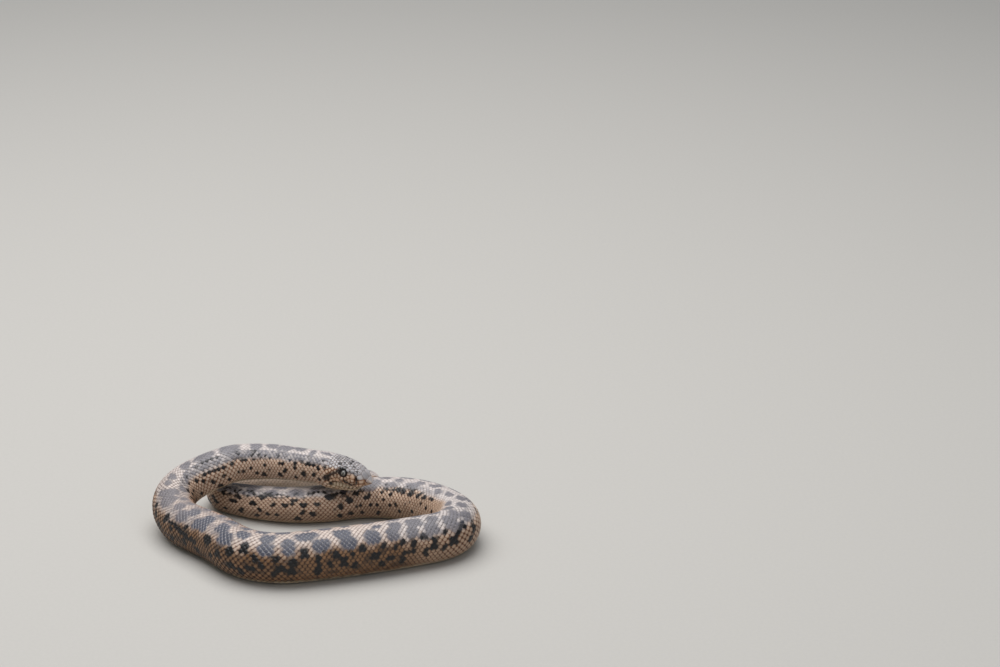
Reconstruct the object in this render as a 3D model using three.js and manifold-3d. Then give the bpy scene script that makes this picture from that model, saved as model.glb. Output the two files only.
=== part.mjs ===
// A javelin sand boa (Eryx jaculus) lying in a flat oval coil, at life size.
// The neck is raised over the last bend of the trunk and the head rests on the
// inner turn. Millimetres, +Z up, floor at z = 0, origin at the middle of the
// bounding box on the floor.
//
// Every point of the animal is given in body coordinates and mapped onto the
// coil by place(): how far it lies behind the snout (run, measured along the
// floor), how far to the left of the spine line (side) and how far above it (up).
import * as THREE from 'three';
import { mergeVertices } from 'three/addons/utils/BufferGeometryUtils.js';
import Module from 'manifold-3d';

const wasm = await Module();
wasm.setup();

// ---- driving dimensions ---------------------------------------------------

// The lie of the body from the snout back: length of each stretch and its turn
// in degrees, anticlockwise seen from above.
const stretches = [
  { part: 'head and nape', length: 28, turn: 0 },
  { part: 'neck', length: 17, turn: 42 },
  { part: 'descent to the floor', length: 12, turn: -9 },
  { part: 'left bend', length: 12.5, turn: 97 },
  { part: 'after the left bend', length: 14.5, turn: 32 },
  { part: 'front shoulder', length: 16, turn: -15 },
  { part: 'front curve', length: 22.4, turn: 67 },
  { part: 'front', length: 43, turn: 11 },
  { part: 'right bend', length: 16.5, turn: 93 },
  { part: 'inner right', length: 39.5, turn: 83 },
  { part: 'inner left', length: 30, turn: -44 },
  { part: 'under the neck', length: 7, turn: 0 },
  { part: 'last bend', length: 13.4, turn: -140 },
  { part: 'tail root', length: 28, turn: -8 },
  { part: 'tail', length: 17, turn: 0 },
];
const snoutStart = { x: 17.6, y: -6.0, heading: 154.5 };
const bendEase = 3.5; // half the length over which one stretch eases into the next

// Half the thickness of the body at some distances behind the snout.
const girth = [
  { run: 0, value: 4.9 },
  { run: 17, value: 5.02 },
  { run: 36, value: 5.45 },
  { run: 52, value: 5.9 },
  { run: 74, value: 6.65 },
  { run: 100, value: 7.2 },
  { run: 127, value: 7.45 },
  { run: 152, value: 7.35 },
  { run: 200, value: 6.6 },
  { run: 222, value: 5.85 },
  { run: 245, value: 5.3 },
  { run: 262, value: 4.7 },
  { run: 285, value: 4.3 },
  { run: 300, value: 3.5 },
  { run: 318, value: 2.35 },
];
const tailTipLength = 4.6; // the blunt rounded end of the tail
const beltDrop = 0.93; // spine height over radius where the belly lies flat

const neckLift = 11.3; // how far the raised neck is carried above its lying height
const headLift = 1.75; // and how much more the head is
const liftEnd = 42.5; // the neck begins to come down here
const floorStart = 78; // the whole belly lies on the floor from here on

// Where the trunk is parted, as distances behind the snout.
const headEnd = 18.4;
const trunkCuts = [headEnd, 41, 59, 66.5, 80, 104, 126, 166, 176, 190, 214, 246, 265, 283];
const partGap = 0.3; // between one length and the next

// Head, with distances behind the snout and heights from the spine line.
const headHalfWidth = 5.35;
const snoutTaper = 14; // the head widens over this length
const snoutBlunt = 0.1; // the outermost cross-section is this far behind the snout
const crownHeights = [
  { run: 0, value: -2.8 },
  { run: 0.8, value: -1.45 },
  { run: 2, value: 0.35 },
  { run: 4.7, value: 2.25 },
  { run: 8, value: 3.35 },
  { run: 12, value: 4.15 },
  { run: 18.4, value: 5 },
];
// Lower edge of the upper lip: lowest behind the sloping underside of the shovel snout.
const lipHeights = [
  { run: 0, value: -3.05 },
  { run: 2.2, value: -3.6 },
  { run: 4.2, value: -3.85 },
  { run: 7.2, value: -3.0 },
  { run: 10.5, value: -2.3 },
  { run: 18.4, value: -2.2 },
];
const lipFullness = 1.7; // height of the widest line above the lip
const jawStart = 2.9; // how far the lower jaw is set back under the snout
const jawInset = 0.35; // and how far in from the upper lip
const chinHeight = -6.05;
const jawRise = 4; // the chin reaches that depth over this length
const mouthCorner = 11.6;
const jawEnd = 16.1;
const neckStart = 12; // the head eases into the round neck from here
const gapeHeight = 0.28;
const gapeDepth = 0.7;

const eye = { run: 7.7, side: 3.6, up: 0.7, radius: 1.05 };
const nostril = { run: 3.9, side: 3.35, up: -0.75, length: 0.7, width: 0.26 };

const bodySides = 24;
const headSides = 36;
const ringPitch = 2.6; // between cross-sections of the trunk
const headRings = 26;
const gapeSteps = 40;

const colours = {
  head: 0x8b8179,
  neck: 0x9a8b7c,
  trunk: 0xa08f7e,
  tail: 0x9a8b7c,
  eye: 0xa9a294,
};

// ---- small functions ------------------------------------------------------

const radians = THREE.MathUtils.degToRad;
const { clamp, lerp } = THREE.MathUtils;

function easeStep(value, from, to) {
  const t = clamp((value - from) / (to - from), 0, 1);
  return t * t * (3 - 2 * t);
}

// A quarter of a superellipse: 0 at the front, 1 after the given length.
function roundedRise(distance, length, frontPower, roundness) {
  const t = clamp(1 - distance / length, 0, 1);
  return (1 - t ** frontPower) ** (1 / roundness);
}

// Smooth value through stations with slopes that never overshoot.
function throughStations(stations, run) {
  const last = stations.length - 1;
  let i = 0;
  while (i < last - 1 && run > stations[i + 1].run) i += 1;
  const chord = (k) =>
    (stations[k + 1].value - stations[k].value) / (stations[k + 1].run - stations[k].run);
  const slope = (k) => {
    const before = chord(Math.max(k - 1, 0));
    const after = chord(Math.min(k, last - 1));
    return before * after <= 0 ? 0 : (2 * before * after) / (before + after);
  };
  const a = stations[i];
  const b = stations[i + 1];
  const width = b.run - a.run;
  const t = clamp((run - a.run) / width, 0, 1);
  const t2 = t * t;
  const t3 = t2 * t;
  return (
    (2 * t3 - 3 * t2 + 1) * a.value +
    (t3 - 2 * t2 + t) * width * slope(i) +
    (-2 * t3 + 3 * t2) * b.value +
    (t3 - t2) * width * slope(i + 1)
  );
}

// ---- the spine line -------------------------------------------------------

const totalRun = stretches.reduce((sum, stretch) => sum + stretch.length, 0);

function sharpHeading(run) {
  let heading = snoutStart.heading;
  let left = clamp(run, 0, totalRun);
  for (const { length, turn } of stretches) {
    if (left <= length) return heading + (turn * left) / length;
    heading += turn;
    left -= length;
  }
  return heading;
}

function easedHeading(run) {
  const samples = 16;
  let sum = 0;
  for (let i = 0; i <= samples; i += 1) {
    sum += sharpHeading(run + bendEase * ((2 * i) / samples - 1));
  }
  return radians(sum / (samples + 1));
}

// Where the spine line lies on the floor, stepped once along its whole length.
const traceStep = 0.25;
const trace = [new THREE.Vector2(snoutStart.x, snoutStart.y)];
for (let run = 0; run < totalRun; run += traceStep) {
  const heading = easedHeading(run + traceStep / 2);
  const next = trace[trace.length - 1].clone();
  next.x += traceStep * Math.cos(heading);
  next.y += traceStep * Math.sin(heading);
  trace.push(next);
}

const bodyRadius = (run) => throughStations(girth, run);

function spineHeight(run) {
  const neck = neckLift * (1 - easeStep(run, liftEnd, floorStart));
  const head = headLift * (1 - easeStep(run, 0, liftEnd));
  return beltDrop * bodyRadius(run) + neck + head;
}

function spineFrame(run) {
  const exact = clamp(run, 0, totalRun) / traceStep;
  const i = Math.min(Math.floor(exact), trace.length - 2);
  const onFloor = trace[i].clone().lerp(trace[i + 1], exact - i);
  const heading = easedHeading(run);
  const climb = (spineHeight(run + traceStep) - spineHeight(run - traceStep)) / (2 * traceStep);
  const back = new THREE.Vector3(Math.cos(heading), Math.sin(heading), climb).normalize();
  const side = new THREE.Vector3(-Math.sin(heading), Math.cos(heading), 0);
  const up = new THREE.Vector3().crossVectors(back, side);
  return { centre: new THREE.Vector3(onFloor.x, onFloor.y, spineHeight(run)), back, side, up };
}

// A point in body coordinates. beyond moves it along the spine line's own
// direction, so that the two faces of a cut stay parallel.
function place(run, side, up, beyond = 0) {
  const frame = spineFrame(run);
  const point = frame.centre
    .addScaledVector(frame.side, side)
    .addScaledVector(frame.up, up)
    .addScaledVector(frame.back, beyond);
  point.z = Math.max(point.z, 0);
  return point;
}

// ---- closed tubes ---------------------------------------------------------

// Wraps a closed cylinder round the spine line. sectionAt(run, side, up) turns
// a point of the unit disc into one of the cross-section there.
function tube(runs, sides, sectionAt) {
  const rings = runs.length - 1;
  const geometry = new THREE.CylinderGeometry(1, 1, rings, sides, rings);
  const position = geometry.attributes.position;
  for (let i = 0; i < position.count; i += 1) {
    const { run, beyond = 0 } = runs[Math.round(rings / 2 - position.getY(i))];
    const [side, up] = sectionAt(run, position.getX(i), position.getZ(i));
    const point = place(run, side, up, beyond);
    position.setXYZ(i, point.x, point.y, point.z);
  }
  return closed(geometry);
}

function closed(geometry) {
  geometry.deleteAttribute('normal');
  geometry.deleteAttribute('uv');
  return mergeVertices(geometry, 1e-4);
}

// Cross-section runs of one length of the body, with both ends drawn in by half a gap.
function runsBetween(from, to) {
  const count = Math.max(3, Math.round((to - from) / ringPitch));
  const runs = [];
  for (let i = 0; i <= count; i += 1) {
    runs.push({ run: lerp(from, to, i / count) });
  }
  runs[0].beyond = partGap / 2;
  runs[count].beyond = to < totalRun ? -partGap / 2 : 0;
  return runs;
}

function roundSection(run, side, up) {
  const radius = bodyRadius(run);
  return [side * radius, up * radius];
}

// ---- head -----------------------------------------------------------------

const headWidthAt = (run) => {
  const front = headHalfWidth * roundedRise(run, snoutTaper, 2.2, 2);
  return lerp(front, bodyRadius(run), easeStep(run, neckStart, headEnd));
};

const crownAt = (run) =>
  lerp(throughStations(crownHeights, run), bodyRadius(run), easeStep(run, neckStart, headEnd));

const lipAt = (run) => throughStations(lipHeights, run);

const jawWidthAt = (run) =>
  (headWidthAt(run) - jawInset) * roundedRise(run - jawStart, snoutTaper - jawStart, 2.4, 2);

const chinAt = (run) => {
  const front = lerp(lipAt(run), chinHeight, roundedRise(run - jawStart, jawRise, 2, 1.5));
  return lerp(front, -bodyRadius(run), easeStep(run, neckStart - 1, headEnd - 1));
};

// Bends the unit circle towards a rounded box: 2 is the circle itself.
function boxed(side, up, power) {
  const size = Math.hypot(side, up);
  if (size === 0) return [0, 0];
  const scale = size / (Math.abs(side / size) ** power + Math.abs(up / size) ** power) ** (1 / power);
  return [(side / size) * scale, (up / size) * scale];
}

// Behind the corner of the mouth the skull reaches down to the throat.
function skullSection(run, side, up) {
  const atNeck = easeStep(run, neckStart, headEnd);
  const [s, u] = boxed(side, up, lerp(up > 0 ? 2.45 : 3, 2, atNeck));
  const lowest = lerp(lipAt(run), chinAt(run), easeStep(run, mouthCorner - 0.8, mouthCorner + 2.4));
  const widest = lerp(lipAt(run) + lipFullness * roundedRise(run, 5, 2, 2), 0, atNeck);
  const height = u > 0 ? crownAt(run) - widest : widest - lowest;
  return [s * headWidthAt(run), widest + u * height];
}

// The jaw narrows behind the corner of the mouth and ends inside the throat.
function jawSection(run, side, up) {
  const [s, u] = boxed(side, up, 2.15);
  const narrow = 1 - 0.4 * easeStep(run, mouthCorner + 2.2, jawEnd);
  const widest = lipAt(run) - gapeHeight;
  const height = u > 0 ? 1.2 : (widest - chinAt(run)) * narrow;
  return [s * jawWidthAt(run) * narrow, widest + u * height];
}

// Cross-sections closer together towards the front.
function headRuns(from, to) {
  const runs = [];
  for (let i = 0; i <= headRings; i += 1) {
    runs.push({ run: lerp(from, to, (i / headRings) ** 1.5) });
  }
  return runs;
}

// The slit between the lips, running round the front of the jaw from corner to
// corner and getting shallow at both.
function gape() {
  const slab = new THREE.BoxGeometry(2, 2, 1, gapeSteps, 1, 1);
  const position = slab.attributes.position;
  for (let i = 0; i < position.count; i += 1) {
    const round = Math.abs(position.getX(i));
    const run = lerp(jawStart + snoutBlunt, mouthCorner, round ** 1.6);
    const edge = Math.sign(position.getX(i)) * jawWidthAt(run);
    const outward = new THREE.Vector2(run - neckStart, edge).normalize();
    const depth = gapeDepth * roundedRise(1 - round, 0.25, 2, 1);
    const reach = position.getY(i) > 0 ? 1.5 : -depth;
    const up = lipAt(run) + position.getZ(i) * gapeHeight;
    const point = place(run + outward.x * reach, edge + outward.y * reach, up);
    position.setXYZ(i, point.x, point.y, point.z);
  }
  return closed(slab);
}

// A ball or egg in the head, its own axes being along the head, sideways and up.
function ball(run, side, up, size, segments) {
  const geometry = new THREE.SphereGeometry(1, segments, Math.round(segments * 0.7));
  const frame = spineFrame(run);
  const centre = place(run, side, up);
  const turn = new THREE.Matrix4().makeBasis(frame.back, frame.side, frame.up);
  geometry.scale(size.along, size.across, size.high);
  geometry.applyMatrix4(turn);
  geometry.translate(centre.x, centre.y, centre.z);
  return closed(geometry);
}

const evenly = (radius) => ({ along: radius, across: radius, high: radius });

function solidOf(geometry) {
  return new wasm.Manifold(
    new wasm.Mesh({
      numProp: 3,
      vertProperties: new Float32Array(geometry.attributes.position.array),
      triVerts: new Uint32Array(geometry.index.array),
    }),
  );
}

function geometryOf(solid) {
  const mesh = solid.getMesh();
  const geometry = new THREE.BufferGeometry();
  geometry.setAttribute('position', new THREE.BufferAttribute(mesh.vertProperties, 3));
  geometry.setIndex(new THREE.BufferAttribute(mesh.triVerts, 1));
  return geometry;
}

// The body of the largest volume, without loose scraps of a cut.
function largest(solid) {
  const pieces = solid.decompose();
  return pieces.reduce((best, piece) => (piece.volume() > best.volume() ? piece : best));
}

function headGeometry() {
  const skullRuns = headRuns(snoutBlunt, headEnd);
  skullRuns[headRings].beyond = -partGap / 2;
  const jawRuns = headRuns(jawStart + snoutBlunt, jawEnd);
  const skull = solidOf(tube(skullRuns, headSides, skullSection));
  const jaw = solidOf(tube(jawRuns, headSides, jawSection));
  let head = skull.add(jaw).subtract(solidOf(gape()));
  for (const hand of [-1, 1]) {
    const socket = ball(eye.run, hand * eye.side, eye.up, evenly(eye.radius + partGap), 20);
    const slit = { along: nostril.width, across: nostril.length, high: nostril.length };
    const opening = ball(nostril.run, hand * nostril.side, nostril.up, slit, 10);
    head = head.subtract(solidOf(socket)).subtract(solidOf(opening));
  }
  return geometryOf(largest(head));
}

// ---- assembly -------------------------------------------------------------

const coil = new THREE.Group();

function addPart(name, geometry, colour, roughness) {
  const material = new THREE.MeshStandardMaterial({ color: colour, roughness, metalness: 0 });
  const mesh = new THREE.Mesh(geometry, material);
  mesh.name = name;
  coil.add(mesh);
}

function addHead() {
  addPart('head', headGeometry(), colours.head, 0.55);
  addPart('eye_left', ball(eye.run, -eye.side, eye.up, evenly(eye.radius), 20), colours.eye, 0.1);
  addPart('eye_right', ball(eye.run, eye.side, eye.up, evenly(eye.radius), 20), colours.eye, 0.1);
}

function addTrunk() {
  for (let i = 0; i < trunkCuts.length - 1; i += 1) {
    const name = i === 0 ? 'neck' : `torso_${i}`;
    const geometry = tube(runsBetween(trunkCuts[i], trunkCuts[i + 1]), bodySides, roundSection);
    addPart(name, geometry, i === 0 ? colours.neck : colours.trunk, 0.6);
  }
}

// The tail keeps its thickness almost to the end, which is a blunt dome.
function addTail() {
  const tipStart = totalRun - tailTipLength;
  const runs = runsBetween(trunkCuts[trunkCuts.length - 1], tipStart);
  delete runs[runs.length - 1].beyond;
  const domeRings = 6;
  for (let i = 1; i <= domeRings; i += 1) {
    runs.push({ run: tipStart + tailTipLength * Math.sin((i / domeRings) * radians(86)) });
  }
  const section = (run, side, up) => {
    const intoTip = clamp((run - tipStart) / tailTipLength, 0, 1);
    const radius = bodyRadius(run) * Math.sqrt(1 - intoTip * intoTip);
    return [side * radius, up * radius];
  };
  addPart('tail', tube(runs, bodySides, section), colours.tail, 0.6);
}

addHead();
addTrunk();
addTail();

const box = new THREE.Box3().setFromObject(coil);
const middle = box.getCenter(new THREE.Vector3());
coil.position.set(-middle.x, -middle.y, -box.min.z);

const snake = new THREE.Group();
snake.add(coil);

export default snake;
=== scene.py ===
import math

import bpy
import numpy as np
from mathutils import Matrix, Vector
from mathutils.bvhtree import BVHTree


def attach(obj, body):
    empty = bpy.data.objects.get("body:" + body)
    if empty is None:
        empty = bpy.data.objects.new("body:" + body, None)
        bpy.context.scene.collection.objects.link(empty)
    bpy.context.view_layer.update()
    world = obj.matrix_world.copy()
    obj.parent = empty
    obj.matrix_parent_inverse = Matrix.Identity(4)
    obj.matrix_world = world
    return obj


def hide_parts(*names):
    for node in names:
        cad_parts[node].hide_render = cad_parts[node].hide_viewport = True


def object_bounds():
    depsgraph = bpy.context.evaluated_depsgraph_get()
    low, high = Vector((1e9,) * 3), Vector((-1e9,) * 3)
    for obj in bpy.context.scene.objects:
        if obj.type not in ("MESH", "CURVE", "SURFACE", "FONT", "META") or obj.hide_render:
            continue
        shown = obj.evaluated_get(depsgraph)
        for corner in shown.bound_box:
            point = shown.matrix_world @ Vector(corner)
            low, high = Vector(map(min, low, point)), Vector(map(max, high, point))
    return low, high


# A javelin sand boa lying in a flat oval coil, head resting on the inner turn.
# Body coordinates are in millimetres: run is the way back from the snout along
# the spine line, turn is the angle round the body from the middle of the back
# (positive on the snake's right), lift is the height over the skin.
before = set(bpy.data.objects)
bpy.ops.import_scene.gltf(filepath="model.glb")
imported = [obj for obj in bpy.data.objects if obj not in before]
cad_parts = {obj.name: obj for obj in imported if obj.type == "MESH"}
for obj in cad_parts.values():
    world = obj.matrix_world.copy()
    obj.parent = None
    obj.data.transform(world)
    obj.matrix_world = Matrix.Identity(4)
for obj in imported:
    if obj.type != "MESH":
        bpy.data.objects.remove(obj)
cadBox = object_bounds()
cadMiddle = (np.array(cadBox[0]) + np.array(cadBox[1])) / 2 * 1000
mm = 0.001
random = np.random.default_rng(41)
print("frame loaded, box in mm", np.round(np.array(cadBox) * 1000, 2).tolist())


# how the body lies
lie = {
    "snout": (17.6, -6.0), "heading": 154.5,    # start of the spine line and its way back
    # length and turn in degrees of each stretch, from head and nape to tail
    "stretches": [(28, 0), (17, 42), (12, -9), (12.5, 97), (14.5, 32), (16, -15), (22.4, 67),
                  (43, 11), (16.5, 93), (39.5, 83), (30, -44), (7, 0), (13.4, -140), (28, -8), (17, 0)],
    "bendEase": 3.5,            # half the length over which one stretch eases into the next
    # half the thickness of the body: run and radius
    "girth": [(0, 4.9), (17, 5.02), (36, 5.45), (52, 5.9), (74, 6.65), (100, 7.2), (127, 7.45), (152, 7.35),
              (200, 6.6), (222, 5.85), (245, 5.3), (262, 4.7), (285, 4.3), (300, 3.5), (318, 2.35)],
    "tailTip": 4.6,             # length of the blunt end
    "belly": 0.93,              # spine height over radius where the belly lies flat
    "neckLift": 11.3, "headLift": 1.75,         # rise of the neck over the floor, and of the head over it
    "liftEnd": 42.5, "floorStart": 78,          # the neck sinks between these runs
}


def ease(value, start, end):
    t = np.clip((value - start) / (end - start), 0, 1)
    return t * t * (3 - 2 * t)


def between(value, start, full, fade, end):
    # 1 in the middle of a stretch, eased to 0 at both its ends
    return ease(value, start, full) * (1 - ease(value, fade, end))


def mix(a, b, t):
    return a + (b - a) * t


def throughStations(stations, run):
    # a smooth line through the stations whose slopes never overshoot
    at, value = np.array(stations, float).T
    chord = np.diff(value) / np.diff(at)
    last = len(at) - 1
    before = chord[np.maximum(np.arange(last + 1) - 1, 0)]
    after = chord[np.minimum(np.arange(last + 1), last - 1)]
    steady = before * after > 0
    slope = np.where(steady, 2 * before * after / np.where(steady, before + after, 1), 0)
    i = np.clip(np.searchsorted(at, run) - 1, 0, last - 1)
    width = at[i + 1] - at[i]
    t = np.clip((run - at[i]) / width, 0, 1)
    return ((2 * t**3 - 3 * t**2 + 1) * value[i] + (t**3 - 2 * t**2 + t) * width * slope[i]
            + (3 * t**2 - 2 * t**3) * value[i + 1] + (t**3 - t**2) * width * slope[i + 1])


lengths, turns = np.array(lie["stretches"], float).T
knotRuns = np.concatenate([[0], np.cumsum(lengths)])
knotHeadings = lie["heading"] + np.concatenate([[0], np.cumsum(turns)])
totalRun = knotRuns[-1]


def headingAt(run):
    spread = np.linspace(-lie["bendEase"], lie["bendEase"], 17)
    return np.radians(np.mean([np.interp(run + d, knotRuns, knotHeadings) for d in spread], axis=0))


traceStep = 0.25
traceRuns = np.arange(0, totalRun + traceStep, traceStep)
stepHeadings = headingAt(traceRuns[:-1] + traceStep / 2)
traceX = lie["snout"][0] + np.concatenate([[0], np.cumsum(traceStep * np.cos(stepHeadings))])
traceY = lie["snout"][1] + np.concatenate([[0], np.cumsum(traceStep * np.sin(stepHeadings))])


def girthAt(run):
    return throughStations(lie["girth"], run)


def heightAt(run):
    neck = lie["neckLift"] * (1 - ease(run, lie["liftEnd"], lie["floorStart"]))
    head = lie["headLift"] * (1 - ease(run, 0, lie["liftEnd"]))
    return lie["belly"] * girthAt(run) + neck + head


def spineFrame(run):
    # the spine's point, and the directions back along it, to the snake's right and up
    heading = headingAt(run)
    climb = (heightAt(run + traceStep) - heightAt(run - traceStep)) / (2 * traceStep)
    back = np.stack([np.cos(heading), np.sin(heading), climb], -1)
    back /= np.linalg.norm(back, axis=-1, keepdims=True)
    side = np.stack([-np.sin(heading), np.cos(heading), 0 * heading], -1)
    x, y = np.interp(run, traceRuns, traceX), np.interp(run, traceRuns, traceY)
    return np.stack([x, y, heightAt(run)], -1), back, side, np.cross(back, side)


# the coat of scales lies between the skin and the outer form
coat = {
    "depth": 0.15,
    "floorGap": 0.02,           # height of the outer form over the floor,
    "floorShare": 0.3,          # and how much of the coat's depth is left under the skin there
}

# shape of the head, up to where it has become the round neck
headShape = {
    "end": 18.4, "neckStart": 12,
    "halfWidth": 5.35, "taper": 14,             # the width is full this far back
    "crown": [(0, -2.8), (0.8, -1.45), (2, 0.35), (4.7, 2.25), (8, 3.35), (12, 4.15), (18.4, 5)],
    # lower edge of the upper lip
    "lip": [(0, -3.05), (2.2, -3.6), (4.2, -3.85), (7.2, -3.0), (10.5, -2.3), (18.4, -2.2)],
    "lipFullness": 1.7, "fullFrom": 5,          # height of the widest line over the lip, from this run on
    "jawStart": 2.9, "jawEnd": 16.1, "jawInset": 0.35, "jawRise": 4, "chin": -6.05,
    "jawOver": 1.2,                             # the jaw's round top, hidden inside the skull
    "mouthCorner": 11.6,
    "jawNarrowing": (0.4, 2.2),                 # share, and its start behind the corner of the mouth
    "cheek": (-0.8, 2.4),       # between these, from that corner, the skull closes down to the chin
    "gapeDepth": 0.5, "gapeWidth": 0.16,
    "mouthEase": (-0.2, 1, -1.2, 0.6),          # how the mouth's line fades at the jaw's start and corner
    "roundCrown": 2.45, "roundLips": 3, "roundJaw": 2.15,       # 2 is an ellipse, more is boxier
    "thinnest": 0.02,
}


def roundedRise(distance, length, frontPower, roundness):
    t = np.clip(1 - distance / length, 0, 1)
    return (1 - t**frontPower) ** (1 / roundness)


def toNeck(run):
    return ease(run, headShape["neckStart"], headShape["end"])


def headWidthAt(run):
    front = headShape["halfWidth"] * roundedRise(run, headShape["taper"], 2.2, 2)
    return mix(front, girthAt(run), toNeck(run))


def crownAt(run):
    return mix(throughStations(headShape["crown"], run), girthAt(run), toNeck(run))


def lipAt(run):
    return throughStations(headShape["lip"], run)


def chinAt(run):
    front = roundedRise(run - headShape["jawStart"], headShape["jawRise"], 2, 1.5)
    return mix(mix(lipAt(run), headShape["chin"], front), -girthAt(run), toNeck(run + 1))


def widestAt(run):
    fullness = headShape["lipFullness"] * roundedRise(run, headShape["fullFrom"], 2, 2)
    return mix(lipAt(run) + fullness, 0, toNeck(run))


def lobe(turn, halfWidth, height, power):
    # distance to a superellipse in the direction turn
    across, high = np.abs(np.sin(turn) / halfWidth), np.abs(np.cos(turn) / height)
    return (across**power + high**power) ** (-1 / power)


tableStep = 0.1
headRuns = np.arange(0, headShape["end"] + tableStep / 2, tableStep)
tableTurns = np.radians(np.arange(-180, 180.5, 1.0))


def jawSection(run, widest):
    # distance from the section's middle to the lower jaw
    s = headShape
    share, behind = s["jawNarrowing"]
    narrow = 1 - share * ease(run, s["mouthCorner"] + behind, s["jawEnd"])
    width = (headWidthAt(run) - s["jawInset"]) * narrow
    width *= roundedRise(run - s["jawStart"], s["taper"] - s["jawStart"], 2.4, 2)
    top = lipAt(run) - s["gapeWidth"]
    around = np.radians(np.arange(40, 180.5, 2))
    deep = max((top - chinAt(run)) * narrow, s["thinnest"])
    height = np.where(around < math.pi / 2, s["jawOver"], deep)
    reach = lobe(around, max(width, s["thinnest"]), height, s["roundJaw"])
    side, up = reach * np.sin(around), top + reach * np.cos(around) - widest
    turns = np.arctan2(side, up)
    first = np.argmin(turns)    # the jaw's top above this is hidden inside the skull
    turns = np.maximum.accumulate(turns[first:])
    return np.interp(np.abs(tableTurns), turns, np.hypot(side, up)[first:], left=0)


def headSection(run):
    # distance from the section's middle to skull or jaw, whichever is further out,
    # and the turn at which the two meet, which is the line of the mouth
    s = headShape
    corner, thin = s["mouthCorner"], s["thinnest"]
    widest = widestAt(run)
    width = max(headWidthAt(run), thin)
    lowest = mix(lipAt(run), chinAt(run), ease(run, corner + s["cheek"][0], corner + s["cheek"][1]))
    above = lobe(tableTurns, width, max(crownAt(run) - widest, thin), mix(s["roundCrown"], 2, toNeck(run)))
    below = lobe(tableTurns, width, max(widest - lowest, thin), mix(s["roundLips"], 2, toNeck(run)))
    skull = np.where(np.abs(tableTurns) < math.pi / 2, above, below)
    if run <= s["jawStart"] or run >= s["jawEnd"]:
        return skull, math.nan
    jaw = jawSection(run, widest)
    under = (jaw > skull) & (tableTurns > math.radians(80))
    mouth = tableTurns[np.argmax(under)] if under.any() and run < corner + 0.5 else math.nan
    return np.maximum(skull, jaw), mouth


headSections = [headSection(run) for run in headRuns]
headTable = np.array([section for section, mouth in headSections])
mouthTurns = np.array([mouth for section, mouth in headSections])
hasMouth = ~np.isnan(mouthTurns)
mouthTurns = np.interp(headRuns, headRuns[hasMouth], mouthTurns[hasMouth])
mouthTurns = np.convolve(np.pad(mouthTurns, 4, mode="edge"), np.ones(9) / 9, mode="valid")
print("head sections", headTable.shape, "mouth at", np.round(np.degrees(mouthTurns[[30, 60, 90, 115]]), 1))


def lipTurnAt(run):
    # direction of the mouth line as seen from the section's middle
    return np.interp(run, headRuns, mouthTurns)


def mouthAt(run, turn):
    # 1 along the line between the lips, 0 away from it
    s = headShape
    reach = np.clip(headWidthAt(run), 1, None)
    near = np.exp(-(((np.abs(turn) - lipTurnAt(run)) * reach / s["gapeWidth"]) ** 2))
    ends = np.repeat([s["jawStart"], s["mouthCorner"]], 2) + s["mouthEase"]
    return near * between(run, *ends)


# hollows of the head's surface, on both sides: run, turn in degrees, distance from the
# section's middle, half-sizes along and across, depth, and how sharp the edge is
eyeSocket = {"run": 7.7, "turn": 62.8, "reach": 4.6, "along": 1.3, "across": 1.3, "depth": 0.45, "power": 4}
nostril = {"run": 3.9, "turn": 69, "reach": 3.6, "along": 0.2, "across": 0.5, "depth": 0.55, "power": 2}
besideEye = 4.7     # distance from the section's middle to the skin round the eye


def socketAt(run, turn, hollow):
    along = (run - hollow["run"]) / hollow["along"]
    across = (np.abs(turn) - math.radians(hollow["turn"])) * hollow["reach"] / hollow["across"]
    return hollow["depth"] * np.exp(-(np.hypot(along, across) ** hollow["power"]))


def radiusAt(run, turn, hollows=True):
    # distance from the section's middle to the outer form of the snake
    run, turn = np.broadcast_arrays(np.asarray(run, float), np.asarray(turn, float))
    turn = (turn + math.pi) % (2 * math.pi) - math.pi
    intoTip = np.clip((run - (totalRun - lie["tailTip"])) / lie["tailTip"], 0, 1)
    body = girthAt(run) * np.sqrt(1 - intoTip**2)
    i = np.clip(run / tableStep, 0, len(headRuns) - 1.001)
    j = (turn + math.pi) / (2 * math.pi) * 360
    i0, j0 = i.astype(int), np.clip(j.astype(int), 0, 359)
    left = mix(headTable[i0, j0], headTable[i0 + 1, j0], i - i0)
    right = mix(headTable[i0, j0 + 1], headTable[i0 + 1, j0 + 1], i - i0)
    head = mix(left, right, j - j0)
    if hollows:
        head = head - headShape["gapeDepth"] * mouthAt(run, turn)
        head = head - socketAt(run, turn, eyeSocket) - socketAt(run, turn, nostril)
    return np.where(run < headShape["end"], head, body)


def middleAt(run):
    # height of the sections' middle over the spine line
    return np.where(run < headShape["end"], widestAt(run), 0)


def surfacePoint(run, turn, lift=0.0, hollows=True):
    # a point of the skin, or lift millimetres over it, in the coil's own millimetres
    run, turn, lift = np.broadcast_arrays(*(np.asarray(v, float) for v in (run, turn, lift)))
    centre, back, side, up = spineFrame(run)
    reach = np.maximum(radiusAt(run, turn, hollows) - coat["depth"] + lift, 0)
    across, high = reach * np.sin(turn), middleAt(run) + reach * np.cos(turn)
    point = centre + side * across[..., None] + up * high[..., None]
    floor = coat["floorGap"] + coat["floorShare"] * np.clip(coat["depth"] - lift, 0, 1)
    point[..., 2] = np.maximum(point[..., 2], floor)
    return point


# the outer form's box is laid on that of the solids
probeRuns, probeTurns = np.linspace(0, totalRun, 900), np.radians(np.arange(0, 360, 7.5))
probe = surfacePoint(probeRuns[:, None], probeTurns[None], coat["depth"]).reshape(-1, 3)
shift = cadMiddle - (probe.min(0) + probe.max(0)) / 2
shift[2] = 0
print("coil shift in mm", np.round(shift, 3).tolist())


def toFrame(point):
    return (point + shift) * mm


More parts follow.
